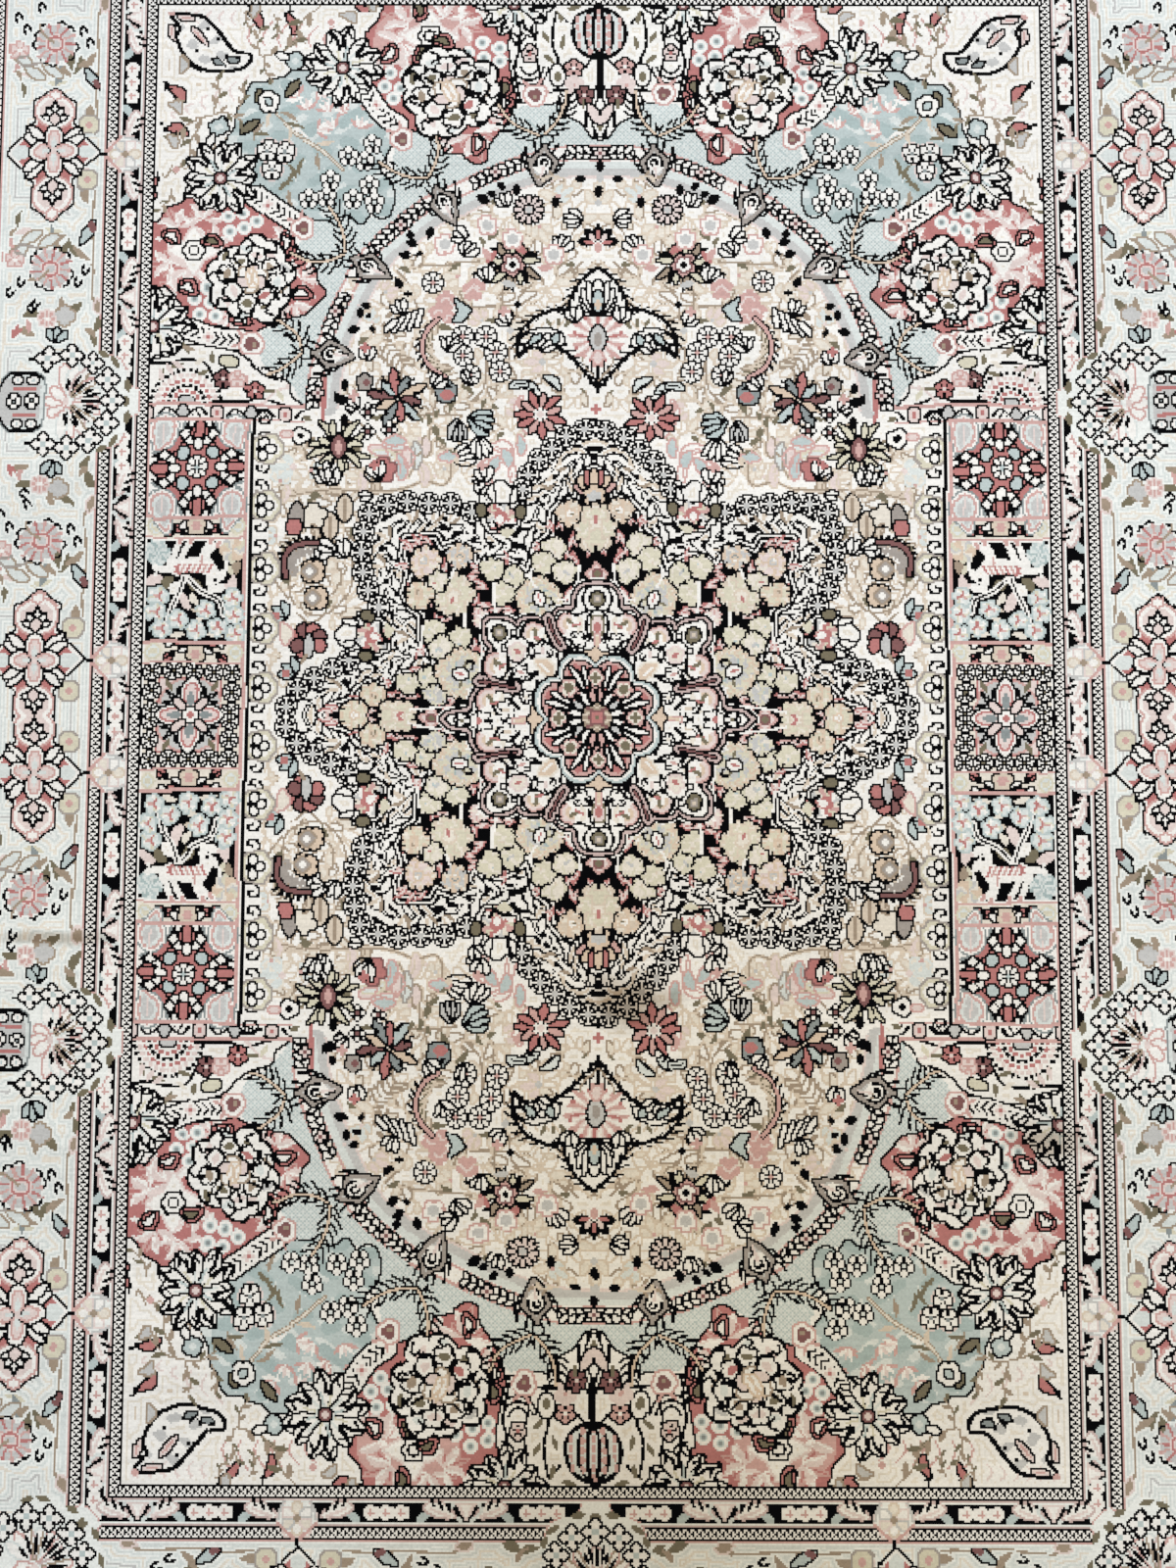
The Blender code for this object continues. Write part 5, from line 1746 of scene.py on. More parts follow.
def cartouche(chart, x, y):
    """A rose cartouche with a cross flower in the middle and a spiky palmette in each end."""
    half = ((-26, 0), (-19, 7), (-16, 9), (-15, 14), (-10, 16), (-12, 24), (-11, 30), (-6, 33), (-3, 36),
            (0, 38), (3, 36), (6, 33), (11, 30), (12, 24), (10, 16), (15, 14), (16, 9), (19, 7), (26, 0))

    def ogee(part):
        points = [(x + dx * part, y + dy * part) for dx, dy in half]
        return points + [(px, 2 * y - py) for px, py in points[::-1][1:-1]]

    chart.fill(polygon(ogee(1.0)), IVORY, BLACK)
    chart.fill(polygon(ogee(0.93)), ROSE)
    for side in (-1, 1):
        chart.fill(leaf(x + side * 13, y, 11, 9, 90 - side * 90, belly=0.8), MIST, on=(ROSE, IVORY))
        chart.fill(oval(x, y + side * 24, 10.5, 9.5), IVORY, PINK)
        chart.fill(oval(x, y + side * 24, 8.6, 7.4), BLUSH)
        for turn, length in ((90, 13), (60, 11), (120, 11), (25, 9), (155, 9)):
            chart.fill(leaf(x, y + side * 18, length, 5.0, side * turn, belly=1.1), BLACK)
            chart.fill(leaf(*step(x, y + side * 18, side * turn, 2), length * 0.6, 2.4, side * turn), IVORY)
        chart.fill(leaf(x, y + side * 16, 7, 5, side * 90), BLUSH, BLACK)
        chart.fill(oval(x, y + side * 34.5, 2.6, 2.0), IVORY, PINK)
    for turn in (38, 142, 218, 322):
        for spread, length in ((-9, 12), (9, 12)):
            chart.fill(leaf(*step(x, y, turn + spread, 8), length, 4.0, turn + spread * 0.6), IVORY, BLACK)
        chart.fill(leaf(*step(x, y, turn, 2), 9, 5.5, turn), BLACK)
    for turn, length in ((0, 14), (90, 15), (180, 14), (270, 15)):
        chart.fill(leaf(x, y, length, 9.5, turn, belly=1.2), IVORY, BLACK)
        chart.fill(leaf(x, y, length * 0.76, 5.4, turn, belly=1.2), BLUSH, PINK)
        chart.fill(leaf(x, y, length * 0.5, 2.6, turn, belly=1.2), MIST)
    chart.fill(disc(x, y, 2.0), BLUSH)


def peony(chart, x, y, radius, turn):
    """A grey and pink flower with a frilled rim, broken black outline and a ringed heart."""
    chart.fill(lobed(x, y, radius * 1.06, 13, 0.2, turn, sharp=True), DUSTY)
    chart.fill(lobed(x, y, radius * 0.92, 13, 0.14, turn + 13), GREY)
    for k in range(13):
        a = turn + k * 360 / 13
        chart.line([step(x, y, a, radius * 0.5), step(x, y, a + 4, radius * 1.02)], (PINK, ROSE)[k % 2],
                   1.4)
        if k % 3 != 1:
            chart.curve([step(x, y, a + 2, radius * 1.02), step(x, y, a + 12, radius * 1.14),
                         step(x, y, a + 22, radius * 1.06)], BLACK, 1.4)
    chart.fill(lobed(x, y, radius * 0.5, 6, 0.2, turn), BLUSH)
    chart.fill(ring(x, y, radius * 0.34, 1.3), ROSE)
    chart.fill(oval(x, y, radius * 0.24, radius * 0.16, turn), GREY)
    chart.curve([step(x, y, turn, radius * 0.1), step(x, y, turn, radius * 0.8),
                 step(x, y, turn + 10, radius * 1.2)], TAN, 1.5)


# Leaves past a cartouche, counted from its middle: x, y, length, direction and yarn.
PEONY_LEAVES = (
    (-9, 50, 18, 70, OLIVE), (-10, 48, 12, 110, OLIVE), (-9, 46, 12, 30, TAN), (-12, 52, 14, 140, TAN),
    (5, 42, 12, 170, SAGE), (10, 44, 12, 10, BLUSH), (0, 40, 14, 100, SLATE), (12, 52, 15, 20, TAN),
    (2, 45, 11, 130, TAN), (18, 32, 10, 80, OLIVE), (20, 42, 8, 60, TAN), (24, 47, 8, 100, PINK),
)


def cartouche_group(chart, y, flip):
    """What grows past one end of a cartouche, along the border: leaves, a peony and black pods."""
    def at(dx, dy):
        return MAIN_X + dx, y + flip * dy

    for dx, dy, length, turn, yarn in PEONY_LEAVES:
        chart.fill(leaf(*at(dx, dy), length, length * 0.3, turn * flip, bend=1.2), yarn)
    for dx, dy in ((6, 44), (14, 53), (-4, 46)):
        chart.fill(leaf(*at(dx, dy), 13, 5, 30 * flip), MIST, TAN)
    chart.curve([at(-24, 24), at(-23, 40), at(-24, 56), at(-23, 78), at(-25, 90)], TAN, 1.4)
    chart.fill(leaf(*at(-26, 84), 9, 4, 100 * flip), TAN, BLUSH)
    chart.fill(leaf(*at(-24, 40), 14, 5, 60 * flip), SKY, BLACK)
    chart.fill(oval(*at(-23, 43), 3, 2, 70), MAUVE)
    for dx, dy, turn in ((-16, 17, 60), (-18, 12, 20), (-12, 19, 100)):
        chart.fill(leaf(*at(dx - 6, dy), 11, 5, turn * flip, bend=1), (BLUSH, TAN, GREY)[dy % 3])
    chart.line([at(-12, 24), at(-10, 14)], OLIVE, 1.6)
    for dx, dy in ((-15, 74), (-19, 67), (9, 88), (18, 75), (23, 82)):
        chart.curve([at(dx - 2, dy - 1), at(dx, dy + 2), at(dx + 2, dy), at(dx + 1, dy - 3)], BLACK, 1.8)
    peony(chart, *at(1, 66), 12, 40 * flip)
    floret(chart, *at(22, 61), 5, 5, BLUSH, IVORY, edge=PINK)
    chart.curve([at(8, 54), at(18, 52), at(22, 56), at(16, 58)], TAUPE, 1.6)


def wreath(chart, x, y, facing=180):
    """A half ring of quatrefoils round a fan of petals and black spikes, with a grey plaque behind."""
    def at(forward, across):
        return step(*step(x, y, facing, forward), facing + 90, across)

    half = ((-20, 28), (18, 28), (30, 24), (33, 18), (33, 9), (40, 7), (41, 0))
    ground = [at(u, v) for u, v in half] + [at(u, -v) for u, v in half[::-1][1:]]
    chart.fill(polygon(ground), PEARL)
    chart.fill(ribbon(ground, 1.6), PINK, on=(BLACK, IVORY, DUSTY, PINK, BLUSH, SKY))
    for side in (-1, 1):
        for forward, across, turn in ((29, 19, 120), (35, 5, 100), (36, 2, 200), (24, 25, 150)):
            chart.fill(leaf(*at(forward, side * across), 8, 3.6, facing + side * turn), OLIVE)
    for k in range(11):
        a = facing + (k - 5) * 19
        chart.fill(leaf(*step(x, y, a, 4), 16, 5.0, a, belly=1.3), IVORY, (PINK, MIST, DUSTY)[k % 3])
    for spread, start, length in ((0, 7, 13), (-13, 8, 12), (13, 8, 12), (-24, 9, 9), (24, 9, 9),
                                  (-42, 5, 13), (42, 5, 13), (-62, 6, 11), (62, 6, 11), (-84, 5, 9),
                                  (84, 5, 9)):
        chart.fill(leaf(*step(x, y, facing + spread, start), length, 2.2, facing + spread, belly=1.1),
                   BLACK)
    for spread in (-52, 52, -32, 32):
        chart.line([step(x, y, facing + spread, 4), step(x, y, facing + spread, 19)],
                   (TAN, PINK)[abs(spread) // 2 % 2], 1.1)
    for spread in (-42, 0, 42):
        chart.fill(leaf(x, y, 11, 5.5, facing + 180 + spread, belly=1.2), IVORY, PINK)
    chart.fill(disc(x, y, 2.0), BLUSH)
    edge = ((-12, 9), (-13, 13), (-17, 16), (-30, 16), (-34, 12), (-36, 7))
    chart.fill(polygon([at(u, v) for u, v in edge] + [at(u, -v) for u, v in edge[::-1]]), MIST, SLATE)
    chart.fill(polygon([at(u - 1.5, v * 0.84) for u, v in edge]
                       + [at(u - 1.5, -v * 0.84) for u, v in edge[::-1]]), GREY)
    for side in (-1, 1):
        chart.line([at(u, side * v) for u, v in edge[1:]], BLACK, 1.4)
        chart.line([at(-16, side * 7), at(-28, side * 7)], ROSE, 1.5)
        for forward in (-18, -26):
            chart.fill(disc(*at(forward, side * 12), 2.1), IVORY, BLACK)
            chart.fill(disc(*at(forward, side * 12), 0.8), SKY)
        chart.line([at(-10, side * 23), at(-21, side * 23)], BLACK, 1.3)
    for forward in (-18, -28):
        stamp(chart, *at(forward, 0), PLAQUE_FLORET, SLATE)
    for k in range(9):
        stamp(chart, *step(x, y, facing + (k - 4) * 28.5, 26), QUATREFOIL, SKY)


# Leaves beside a wreath, counted from its middle: x, y, length, direction and yarn.
WREATH_LEAVES = (
    (-26, 30, 11, 70, OLIVE), (-24, 38, 12, 110, OLIVE), (-26, 36, 9, 40, TAN), (-8, 50, 13, 140, OLIVE),
    (-4, 50, 10, 100, TAN), (4, 48, 12, 0, OLIVE), (8, 36, 12, 20, TAN), (12, 38, 8, 80, PINK),
    (-1, 44, 9, 60, MAUVE),
)


def wreath_group(chart, y, flip):
    """What grows between a wreath and the next peony."""
    def at(dx, dy):
        return MAIN_X + dx, y + flip * dy

    for dx, dy, length, turn, yarn in WREATH_LEAVES:
        chart.fill(leaf(*at(dx, dy), length, length * 0.4, turn * flip, bend=1), yarn)
    chart.fill(lobed(*at(-8, 49), 5.5, 4, 0.3), GREY, TAN)
    floret(chart, *at(2, 47), 4.8, 8, PINK, IVORY, edge=BLUSH)
    tulip(chart, *at(-4, 33), 9, 90 * flip, SKY, 3, 34, 0.4)
    chart.curve([at(8, 52), at(11, 50), at(13, 53), at(10, 55)], BLACK, 1.8)
    chart.curve([at(16, 40), at(20, 36), at(18, 42)], ROSE, 2.0)


def main_border(chart):
    """The wide pale border: cartouches, wreaths, peonies and leaves, with contour lines between."""
    end = Chart(chart.yarns[END_SHIFT:, :].T)
    for run, cartouches, wreaths, band, rest in ((chart, (31, 320), (177,), SIDE_BAND, OUTER_SIDE_BAND),
                                                 (end, (157,), (0,), END_BAND, OUTER_END_BAND)):
        leaf_band(run, FIELD_X + 14, band)
        leaf_band(run, OUTER_GUARD + 14, [(y + 9, kind) for y, kind in band] + list(rest))
        for y in cartouches:
            for flip in (-1, 1):
                if y != 31 or flip > 0:
                    cartouche_group(run, y, flip)
        for y in wreaths:
            for flip in (-1, 1):
                wreath_group(run, y, flip)
    stamp(chart, OUTER_GUARD + 14, OUTER_GUARD + END_SHIFT + 14, ROSETTE, PINK)
    contours(chart)
    for run, cartouches, wreaths in ((chart, (31, 320), (177,)), (end, (157,), (0,))):
        for y in cartouches:
            bridge(run, y)
            cartouche(run, MAIN_X, y)
        for y in wreaths:
            wreath(run, MAIN_X - (11 if y else 8), y)
    wreath(chart, MAIN_X - 14, MAIN_X + END_SHIFT - 14, facing=225)


def contours(chart):
    """Faint lines that follow the motifs at even distances, over the border's ground and the ivory field."""
    rows, columns = chart.yarns.shape
    x, y = np.meshgrid(np.arange(columns), np.arange(rows))
    ring_number = np.maximum(x - FIELD_X, y - FIELD_Y)
    border = (ring_number > GUARD) & (ring_number < OUTER_GUARD - FIELD_X - 1) & (chart.yarns == PEARL)
    field = (ring_number < 0) & (chart.yarns == IVORY)
    for ground, gap, lines in ((border, 2, (MIST, CREAM, MIST, GREY, MIST)),
                               (field, 3, (CREAM, BEIGE, IVORY, BLUSH, BEIGE))):
        covered = ~ground
        for k in range(24):
            wider = grown(covered)
            if k % gap == gap - 1:
                chart.yarns[wider & ~covered & ground] = lines[k // gap % len(lines)]
            covered = wider


def whole_chart():
    """A quarter of the rug, knotted from its grounds up."""
    chart = Chart(np.full((ROWS, COLUMNS), IVORY, np.uint8))
    corner_grounds(chart)
    pool_flowers(chart)
    white_corner(chart)
    top_niche(chart)
    corner_flowers(chart)
    lower_corner(chart)
    boundary(chart)
    ivory_field(chart)
    upper_field(chart)
    plume_and_stars(chart)
    side_field(chart)
    pendant(chart)
    field_flowers(chart)
    garland(chart)
    medallion(chart)
    scroll_strip(chart)
    panel_strip(chart, 106.5, 1)
    panel_strip(chart, 35.5, -1)
    cross_panel(chart)
    animal_panel(chart)
    court_panel(chart)
    for y in (29.5, 41, 100.5, 112, 166):
        chart.line([(195, y), (250, y)], PINK, 1.6)
    border_grounds(chart)
    main_border(chart)
    return chart


def drift(rows, columns, seed):
    """A slow wander of under a knot either way, as rows beaten down by hand have."""
    rng = np.random.default_rng(seed)
    row, column = np.mgrid[0:rows, 0:columns]
    wander = np.zeros((rows, columns))
    for _ in range(6):
        along, across, phase = rng.uniform(0.01, 0.06), rng.uniform(0.01, 0.06), rng.uniform(0, 2 * math.pi)
        wander += np.sin(row * along + column * across + phase)
    return np.rint(0.45 * wander).astype(int)


def knotted(quarter):
    """All the rug's knots: the quarter four times over, a knot out here and there between the stripes."""
    half = np.concatenate([quarter[:, ::-1], quarter], 1)
    plain = np.concatenate([half[::-1], half], 0)
    rows, columns = plain.shape
    row, column = np.mgrid[0:rows, 0:columns]
    beyond = np.maximum(np.abs(column + 0.5 - COLUMNS) - FIELD_X, np.abs(row + 0.5 - ROWS) - FIELD_Y)
    loose = (beyond < -4) | ((beyond > GUARD + 3) & (beyond < OUTER_GUARD - FIELD_X - 3))
    from_row = row + loose * drift(rows, columns, 5)
    from_column = column + loose * drift(rows, columns, 11)
    return plain[from_row, from_column]


def shoulder(distance, low):
    """Height of the pile a distance in from its own edge, where it rounds over from low to its top."""
    part = np.clip(1 - distance / PILE_SHOULDER, 0, 1)
    return low + (PILE_TOP - low) * np.sqrt(1 - part ** 2)


def pile_height(x, y):
    """Top of the pile: level, rounded down at its edges, and lower along the crease."""
    side = shoulder(WIDTH / 2 - CORD_WIDTH - np.abs(x), GROOVE_TOP)
    end = shoulder(LENGTH / 2 - WEB_LENGTH - np.abs(y), WEB_TOP)
    reach = np.clip(np.abs(y - CREASE_Y) / CREASE_HALF_WIDTH, 0, 1)
    return np.minimum(side, end) - CREASE_DEPTH * (1 + np.cos(np.pi * reach)) / 2


def back_height(x, y):
    """The back lies level."""
    return BACK_LEVEL + 0 * (x + y)


def patches(labels):
    """Rectangles that cover equal labels: first column, end column, first row, end row and label of each."""
    columns = labels.shape[1]
    starts = np.ones(labels.shape, bool)
    starts[:, 1:] = labels[:, 1:] != labels[:, :-1]
    row, first = np.nonzero(starts)
    end = np.append(first[1:], columns)
    end[np.append(row[1:] != row[:-1], True)] = columns
    label = labels[row, first]
    order = np.lexsort((row, label, end, first))
    row, first, end, label = row[order], first[order], end[order], label[order]
    same = (first[1:] == first[:-1]) & (end[1:] == end[:-1]) & (label[1:] == label[:-1])
    new = np.append(True, ~(same & (row[1:] == row[:-1] + 1)))
    row_end = row[np.append(new[1:], True)] + 1
    return first[new], end[new], row[new], row_end, label[new]


def split_lines(knot_lines, extra):
    """Grid lines at the knots' edges and at the extra places, with the knot that each cell belongs to."""
    lines = np.unique(np.round(np.concatenate([knot_lines, extra]), 7))
    knot = np.searchsorted(knot_lines, (lines[1:] + lines[:-1]) / 2) - 1
    return lines, np.clip(knot, 0, len(knot_lines) - 2)


def patch_mesh(name, x_lines, y_lines, yarns, height, upward=True):
    """A sheet of one rectangle per patch of equal yarn. No patch crosses a change of height."""
    z = height(x_lines[None, :], y_lines[:, None])
    near, far = z[:, :-1], z[:, 1:]
    tilts_across = ~np.isclose(near, far, atol=1e-6)
    tilts_across = tilts_across[:-1] | tilts_across[1:]
    tilts_along = ~np.isclose(z[:-1], z[1:], atol=1e-6)
    tilts_along = tilts_along[:, :-1] | tilts_along[:, 1:]
    row, column = np.indices(yarns.shape)
    zone = np.where(tilts_across, column + 1, 0) + np.where(tilts_along, row + 1, 0) * (yarns.shape[1] + 1)
    zone = zone * 2 + (y_lines[:-1, None] >= 0)
    first, end, row, row_end, label = patches(zone.astype(np.int64) * len(YARNS) + yarns)
    at_x = np.stack([first, end, end, first], 1)
    at_y = np.stack([row, row, row_end, row_end], 1)
    if not upward:
        at_x, at_y = at_x[:, ::-1], at_y[:, ::-1]
    used, corner = np.unique(at_y.ravel() * len(x_lines) + at_x.ravel(), return_inverse=True)
    grid_y, grid_x = used // len(x_lines), used % len(x_lines)
    points = np.stack([x_lines[grid_x], y_lines[grid_y], z[grid_y, grid_x]], 1)
    mesh = bpy.data.meshes.new(name)
    mesh.vertices.add(len(points))
    mesh.vertices.foreach_set("co", points.ravel())
    mesh.loops.add(len(corner))
    mesh.loops.foreach_set("vertex_index", corner.ravel())
    mesh.polygons.add(len(first))
    mesh.polygons.foreach_set("loop_start", np.arange(0, len(corner), 4))
    mesh.polygons.foreach_set("material_index", label % len(YARNS))
    mesh.update(calc_edges=True)
    lay_halves_side_by_side(mesh, points[corner], np.repeat(label // len(YARNS) % 2, 4))
    return mesh


def lay_halves_side_by_side(mesh, corners, upper):
    """Texture coordinates that lay a long strip's upper half beside its lower half, nearly square."""
    x, y = corners[:, 0], corners[:, 1]
    across = (x - x.min()) / np.ptp(x)
    along = np.where(upper, y, y - y.min()) / (np.ptp(y) / 2)
    uv = np.stack([BAKE_MARGIN + (0.5 - 2 * BAKE_MARGIN) * across + 0.5 * upper, along], 1)
    layer = mesh.uv_layers.new(name="OFBake")
    layer.data.foreach_set("uv", uv.ravel())


def strip_of_pile(k, knots, materials):
    """One of the long strips that the pile is built in."""
    x_knots = (np.arange(2 * COLUMNS + 1) - COLUMNS) * KNOT_X
    y_knots = (np.arange(2 * ROWS + 1) - ROWS) * KNOT_Y
    first, end = k * 2 * COLUMNS // PILE_STRIPS, (k + 1) * 2 * COLUMNS // PILE_STRIPS
    edge = PILE_SHOULDER * np.array((0.04, 0.15, 0.35))
    x_edges = [side * (WIDTH / 2 - CORD_WIDTH - d) for side in (-1, 1) for d in edge]
    y_edges = [side * (LENGTH / 2 - WEB_LENGTH - d) for side in (-1, 1) for d in edge]
    here = x_knots[first:end + 1]
    x_lines, column = split_lines(here, [x for x in x_edges if here[0] < x < here[-1]])
    y_lines, row = split_lines(y_knots, y_edges)
    yarns = knots[np.ix_(row, first + column)]
    return add_piece(f"pile_{k + 1}", patch_mesh(f"pile_{k + 1}", x_lines, y_lines, yarns, pile_height),
                     materials)


def knotted_back(knots, materials):
    """The underside, where each pair of knots shows as a loop of its yarn."""
    coarse = knots[::2, ::2]
    x_lines = (np.arange(coarse.shape[1] + 1) * 2 - COLUMNS) * KNOT_X
    y_lines = (np.arange(coarse.shape[0] + 1) * 2 - ROWS) * KNOT_Y
    return add_piece("knotted_back", patch_mesh("knotted_back", x_lines, y_lines, coarse, back_height,
                                                upward=False), materials)


def add_piece(name, mesh, materials):
    piece = bpy.data.objects.new(name, mesh)
    for material in materials:
        mesh.materials.append(material)
    bpy.context.collection.objects.link(piece)
    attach(piece, "root")
    return piece


def closed_tube(name, rings):
    """A closed mesh through rings of equally many points, capped at both ends."""
    count, size = rings.shape[:2]
    index = np.arange(count * size).reshape(count, size)
    here, there = index[:-1], index[1:]
    quads = np.stack([here, there, np.roll(there, -1, 1), np.roll(here, -1, 1)], 2).reshape(-1, 4)
    faces = [tuple(q) for q in quads.tolist()] + [tuple(index[0].tolist()), tuple(index[-1, ::-1].tolist())]
    mesh = bpy.data.meshes.new(name)
    mesh.from_pydata(rings.reshape(-1, 3).tolist(), [], faces)
    return mesh


def side_cord(name, side, material):
    """The outermost warps, bound round with thread: a half-round cord with a groove between the turns."""
    y = np.arange(-LENGTH / 2 + WEB_LENGTH * 0.4, LENGTH / 2 - WEB_LENGTH * 0.4, THREAD_PITCH / 4)
    turn = np.linspace(0, math.pi, 7)
    lean = y[:, None] / THREAD_PITCH + turn[None, :] / math.pi * 0.3
    full = 1 - THREAD_GROOVE * np.sin(math.pi * lean) ** 8
    half = CORD_WIDTH / 2
    x = WIDTH / 2 - half + half * np.cos(turn) * full
    z = UNDERSIDE + (CORD_TOP - UNDERSIDE) * np.sin(turn) * full
    ring_y = np.repeat(y[:, None], len(turn), 1)
    rings = np.stack([side * x, ring_y, z], 2)
    if side < 0:
        rings = rings[:, ::-1]
    piece = add_piece(name, closed_tube(name, rings[:, ::-1]), [material])
    piece.data.shade_smooth()
    return piece


def end_web(name, side, material):
    """The plain-woven end: warps as fine ridges across it, and a thin outer edge."""
    half = WIDTH / 2 - CORD_WIDTH * 0.3
    x = np.arange(-half, half, KNOT_X / 4)
    ridge = WARP_RIDGE * np.abs(np.sin(math.pi * x / KNOT_X))
    outer, inner = LENGTH / 2, LENGTH / 2 - WEB_LENGTH - PILE_SHOULDER
    profile = ((outer, UNDERSIDE), (outer, RIM), (outer - RIM, WEB_TOP), ((outer + inner) / 2, WEB_TOP),
               (inner, WEB_TOP), (inner, UNDERSIDE))
    y = np.array([p[0] for p in profile]) * side
    z = np.array([p[1] for p in profile])
    lift = np.array([0, 0.4, 1, 1, 1, 0])
    rings = np.stack([np.repeat(x[:, None], len(y), 1), np.repeat(y[None, :], len(x), 0),
                      z[None, :] - (WARP_RIDGE - ridge)[:, None] * lift[None, :]], 2)
    if side > 0:
        rings = rings[:, ::-1]
    return add_piece(name, closed_tube(name, rings), [material])


def foundation(material):
    """The warps and wefts under the pile: a thin closed slab from side to side and end to end."""
    half_x, half_y = WIDTH / 2 - CORD_WIDTH * 0.6, LENGTH / 2 - WEB_LENGTH * 0.3
    profile = np.array(((-half_x, UNDERSIDE), (half_x, UNDERSIDE), (half_x, FOUNDATION_TOP),
                        (-half_x, FOUNDATION_TOP)))
    y = np.linspace(-half_y, half_y, 9)
    rings = np.stack([np.repeat(profile[None, :, 0], 9, 0), np.repeat(y[:, None], 4, 1),
                      np.repeat(profile[None, :, 1], 9, 0)], 2)
    return add_piece("foundation", closed_tube("foundation", rings[:, ::-1]), [material])


def linear(colour):
    """An sRGB colour out of 255 as Blender's linear values."""
    part = np.array(colour) / 255
    return (*np.where(part <= 0.04045, part / 12.92, ((part + 0.055) / 1.055) ** 2.4), 1.0)


class Nodes:
    """Small helper that adds shader nodes and joins them."""

    def __init__(self, name):
        self.material = bpy.data.materials.new(name)
        self.material.use_nodes = True
        self.tree = self.material.node_tree
        self.shader = self.tree.nodes["Principled BSDF"]
        self.place = self.tree.nodes.new("ShaderNodeTexCoord").outputs["Object"]

    def join(self, source, socket):
        if isinstance(source, bpy.types.NodeSocket):
            self.tree.links.new(source, socket)
        else:
            socket.default_value = source

    def math(self, operation, *values):
        node = self.tree.nodes.new("ShaderNodeMath")
        node.operation = operation
        for socket, value in zip(node.inputs, values):
            self.join(value, socket)
        return node.outputs[0]

    def either_way(self, value, spread):
        """A value of 0 to 1 turned into one that goes as far below zero as above it."""
        return self.math("MULTIPLY", self.math("SUBTRACT", value, 0.5), spread)

    def scaled(self, scale, shift=(0, 0, 0)):
        node = self.tree.nodes.new("ShaderNodeMapping")
        self.join(self.place, node.inputs["Vector"])
        node.inputs["Scale"].default_value = scale
        node.inputs["Location"].default_value = shift
        return node.outputs[0]

    def noise(self, scale, detail=2.0, shift=(0, 0, 0)):
        node = self.tree.nodes.new("ShaderNodeTexNoise")
        node.inputs["Scale"].default_value = 1.0
        node.inputs["Detail"].default_value = detail
        self.join(self.scaled(scale, shift), node.inputs["Vector"])
        return node.outputs["Fac"]

    def per_knot(self):
        """An even random value for each knot."""
        floor = self.tree.nodes.new("ShaderNodeVectorMath")
        floor.operation = "FLOOR"
        self.join(self.scaled((1 / KNOT_X, 1 / KNOT_Y, 0)), floor.inputs[0])
        white = self.tree.nodes.new("ShaderNodeTexWhiteNoise")
        white.noise_dimensions = "2D"
        self.join(floor.outputs[0], white.inputs["Vector"])
        return white.outputs["Value"]

    def ramp(self, value, *stops):
        """A value read off straight lines between (place, value) stops."""
        node = self.tree.nodes.new("ShaderNodeValToRGB")
        ends = node.color_ramp.elements
        while len(ends) < len(stops):
            ends.new(0.5)
        for element, (place, level) in zip(ends, stops):
            element.position = place
            element.color = level if isinstance(level, tuple) else (level, level, level, 1)
        self.join(value, node.inputs[0])
        return node.outputs[0]

    def mix(self, kind, factor, a, b):
        node = self.tree.nodes.new("ShaderNodeMix")
        node.data_type = "RGBA"
        node.blend_type = kind
        self.join(factor, node.inputs[0])
        self.join(a, node.inputs[6])
        self.join(b, node.inputs[7])
        return node.outputs[2]

    def bump(self, height, strength, distance):
        node = self.tree.nodes.new("ShaderNodeBump")
        node.inputs["Strength"].default_value = strength
        node.inputs["Distance"].default_value = distance
        self.join(height, node.inputs["Height"])
        self.join(node.outputs[0], self.shader.inputs["Normal"])

    def spot(self, x, y, wide, long):
        """1 in the middle of an oval place on the rug, falling to 0 at its rim."""
        node = self.tree.nodes.new("ShaderNodeVectorMath")
        node.operation = "LENGTH"
        self.join(self.scaled((1 / wide, 1 / long, 0), (-x / wide, -y / long, 0)), node.inputs[0])
        return self.math("MAXIMUM", self.math("SUBTRACT", 1.0, node.outputs["Value"]), 0.0)


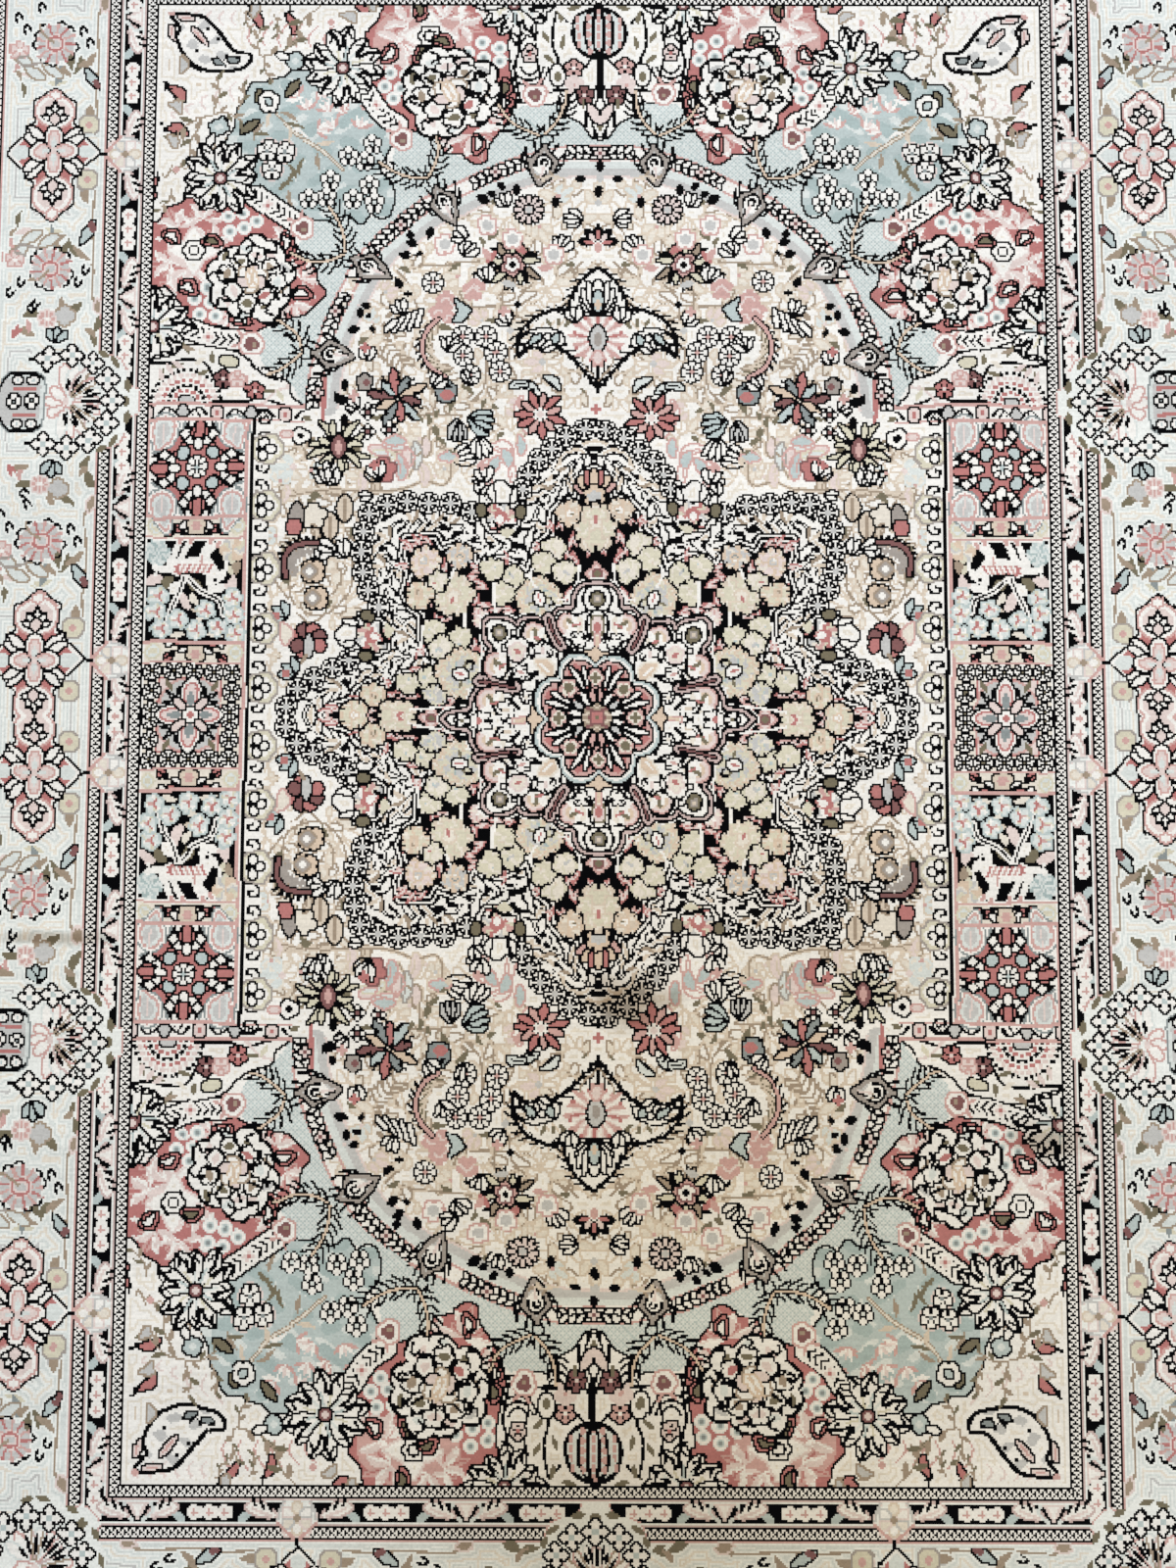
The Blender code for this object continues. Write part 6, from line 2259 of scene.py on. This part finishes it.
def silk(name, colour, shine):
    """Knotted silk in one dyed colour, with its rows, its uneven dye, a painted sheen along the rug, and
    darker yellow and brown patches.
    """
    n = Nodes(name)
    rows = n.noise(ROW_SCALE, 3.0)
    bands = n.noise(BAND_SCALE, 2.0, (3.0, 1.0, 0))
    tone = 1.0
    for value, spread in ((n.per_knot(), KNOT_TONE), (rows, ROW_TONE), (bands, BAND_TONE)):
        tone = n.math("ADD", tone, n.either_way(value, spread))
    separate = n.tree.nodes.new("ShaderNodeSeparateXYZ")
    n.join(n.place, separate.inputs[0])
    # Painted sheen: the tint along the rug stands in for light reflected off the silk.
    along = n.math("DIVIDE", n.math("ADD", separate.outputs["Y"], LENGTH / 2), LENGTH)
    sheen_tint = n.ramp(along, *[(place, linear(tint_colour)) for place, tint_colour in PAINTED_SHEEN_TINTS])
    base = n.mix("MULTIPLY", 1.0, linear(colour), sheen_tint)
    # Yellower and a little darker over the lower middle.
    yellower = n.ramp(n.spot(*YELLOWER_PLACE), (0.0, 0.0), (0.7, 1.0))
    base = n.mix("MULTIPLY", yellower, base, linear(YELLOW_TINT))
    shade = n.tree.nodes.new("ShaderNodeCombineColor")
    for socket in shade.inputs:
        n.join(tone, socket)
    base = n.mix("MULTIPLY", 1.0, base, shade.outputs[0])
    # Darker brown patches with ragged rims.
    uneven = n.noise(PATCH_SCALE, 4.0, (7.0, 0, 0))
    for x, y, wide, long, strength in DARK_PATCHES:
        mark = n.math("ADD", n.spot(x, y, wide, long), n.either_way(uneven, PATCH_RAGGED))
        mark = n.math("MULTIPLY", n.ramp(mark, (0.25, 0.0), (0.75, 1.0)), strength)
        reach = n.spot(x, y, wide * PATCH_REACH, long * PATCH_REACH)
        mark = n.math("MULTIPLY", mark, n.ramp(reach, (0.0, 0.0), (0.1, 1.0)))
        base = n.mix("MULTIPLY", mark, base, linear(PATCH_COLOUR))
    n.join(base, n.shader.inputs["Base Color"])
    rough = n.math("ADD", SILK_ROUGHNESS, n.math("MULTIPLY", rows, 0.2))
    n.join(rough, n.shader.inputs["Roughness"])
    n.shader.inputs["Specular IOR Level"].default_value = SILK_SPECULAR * shine
    n.shader.inputs["Sheen Weight"].default_value = SILK_SHEEN * shine
    n.shader.inputs["Sheen Roughness"].default_value = 0.45
    tufts = n.noise(TUFT_SCALE, 1.0)
    n.bump(n.math("ADD", tufts, n.math("MULTIPLY", rows, 1.5)), *SILK_BUMP)
    return n.material


def plain_thread(name, colour, scale):
    """Undyed thread or web: fine lines of thread with painted shade and a little dust between them."""
    n = Nodes(name)
    threads = n.noise(scale, 2.0)
    dust = n.noise((40.0, 40.0, 10.0), 3.0)
    # Painted shade: the threads darken where their bump is low.
    shade = [c * PAINTED_THREAD_SHADE for c in colour]
    tone = n.ramp(threads, (0.25, linear(shade)), (0.7, linear(colour)))
    base = n.mix("MULTIPLY", n.math("MULTIPLY", dust, 0.5), tone, linear(DUST_COLOUR))
    n.join(base, n.shader.inputs["Base Color"])
    n.join(n.math("ADD", 0.6, n.math("MULTIPLY", threads, 0.2)), n.shader.inputs["Roughness"])
    n.shader.inputs["Sheen Weight"].default_value = 0.15
    n.bump(threads, *THREAD_BUMP)
    return n.material


def studio():
    """A pale floor, two soft lamps over it, and the camera looking almost straight down."""
    mesh = bpy.data.meshes.new("floor")
    corners = [(x * FLOOR_REACH, y * FLOOR_REACH, 0) for x, y in ((-1, -1), (1, -1), (1, 1), (-1, 1))]
    mesh.from_pydata(corners, [], [(0, 1, 2, 3)])
    floor = bpy.data.objects.new("floor", mesh)
    bpy.context.collection.objects.link(floor)
    n = Nodes("floor")
    n.shader.inputs["Base Color"].default_value = linear(FLOOR_COLOUR)
    n.shader.inputs["Roughness"].default_value = 0.8
    mesh.materials.append(n.material)
    world = bpy.data.worlds.new("studio")
    world.use_nodes = True
    sky = world.node_tree.nodes["Background"]
    sky.inputs["Color"].default_value = linear(WORLD_COLOUR)
    sky.inputs["Strength"].default_value = WORLD_STRENGTH
    bpy.context.scene.world = world
    for name, place, size, energy in LAMPS:
        lamp = bpy.data.lights.new(name, "AREA")
        lamp.size = size
        lamp.energy = energy
        holder = bpy.data.objects.new(name, lamp)
        holder.location = place
        holder.rotation_mode = "QUATERNION"
        holder.rotation_quaternion = (-mathutils.Vector(place)).to_track_quat("-Z", "Y")
        bpy.context.collection.objects.link(holder)
    camera = bpy.data.objects.new("camera", bpy.data.cameras.new("camera"))
    camera.data.lens = CAMERA_LENS
    camera.data.clip_start = 0.01
    camera.location = CAMERA_PLACE
    camera.rotation_euler = [math.radians(a) for a in CAMERA_TURN]
    bpy.context.collection.objects.link(camera)
    bpy.context.scene.camera = camera
    bpy.context.scene.view_settings.view_transform = "Standard"


knots = knotted(whole_chart().yarns)
shines = {"black": BLACK_SHINE}
pile_silks = [silk("silk_" + name, colour, shines.get(name, 1.0)) for name, colour in YARNS]
pile = [strip_of_pile(k, knots, pile_silks) for k in range(PILE_STRIPS)]
back = knotted_back(knots, pile_silks)
thread = plain_thread("binding_thread", CORD_COLOUR, CORD_SCALE)
web = plain_thread("end_web", WEB_COLOUR, WEB_SCALE)
cords = [side_cord("cord_left", -1, thread), side_cord("cord_right", 1, thread)]
webs = [end_web("web_bottom", -1, web), end_web("web_top", 1, web)]
ground = foundation(web)
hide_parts("rug")
studio()
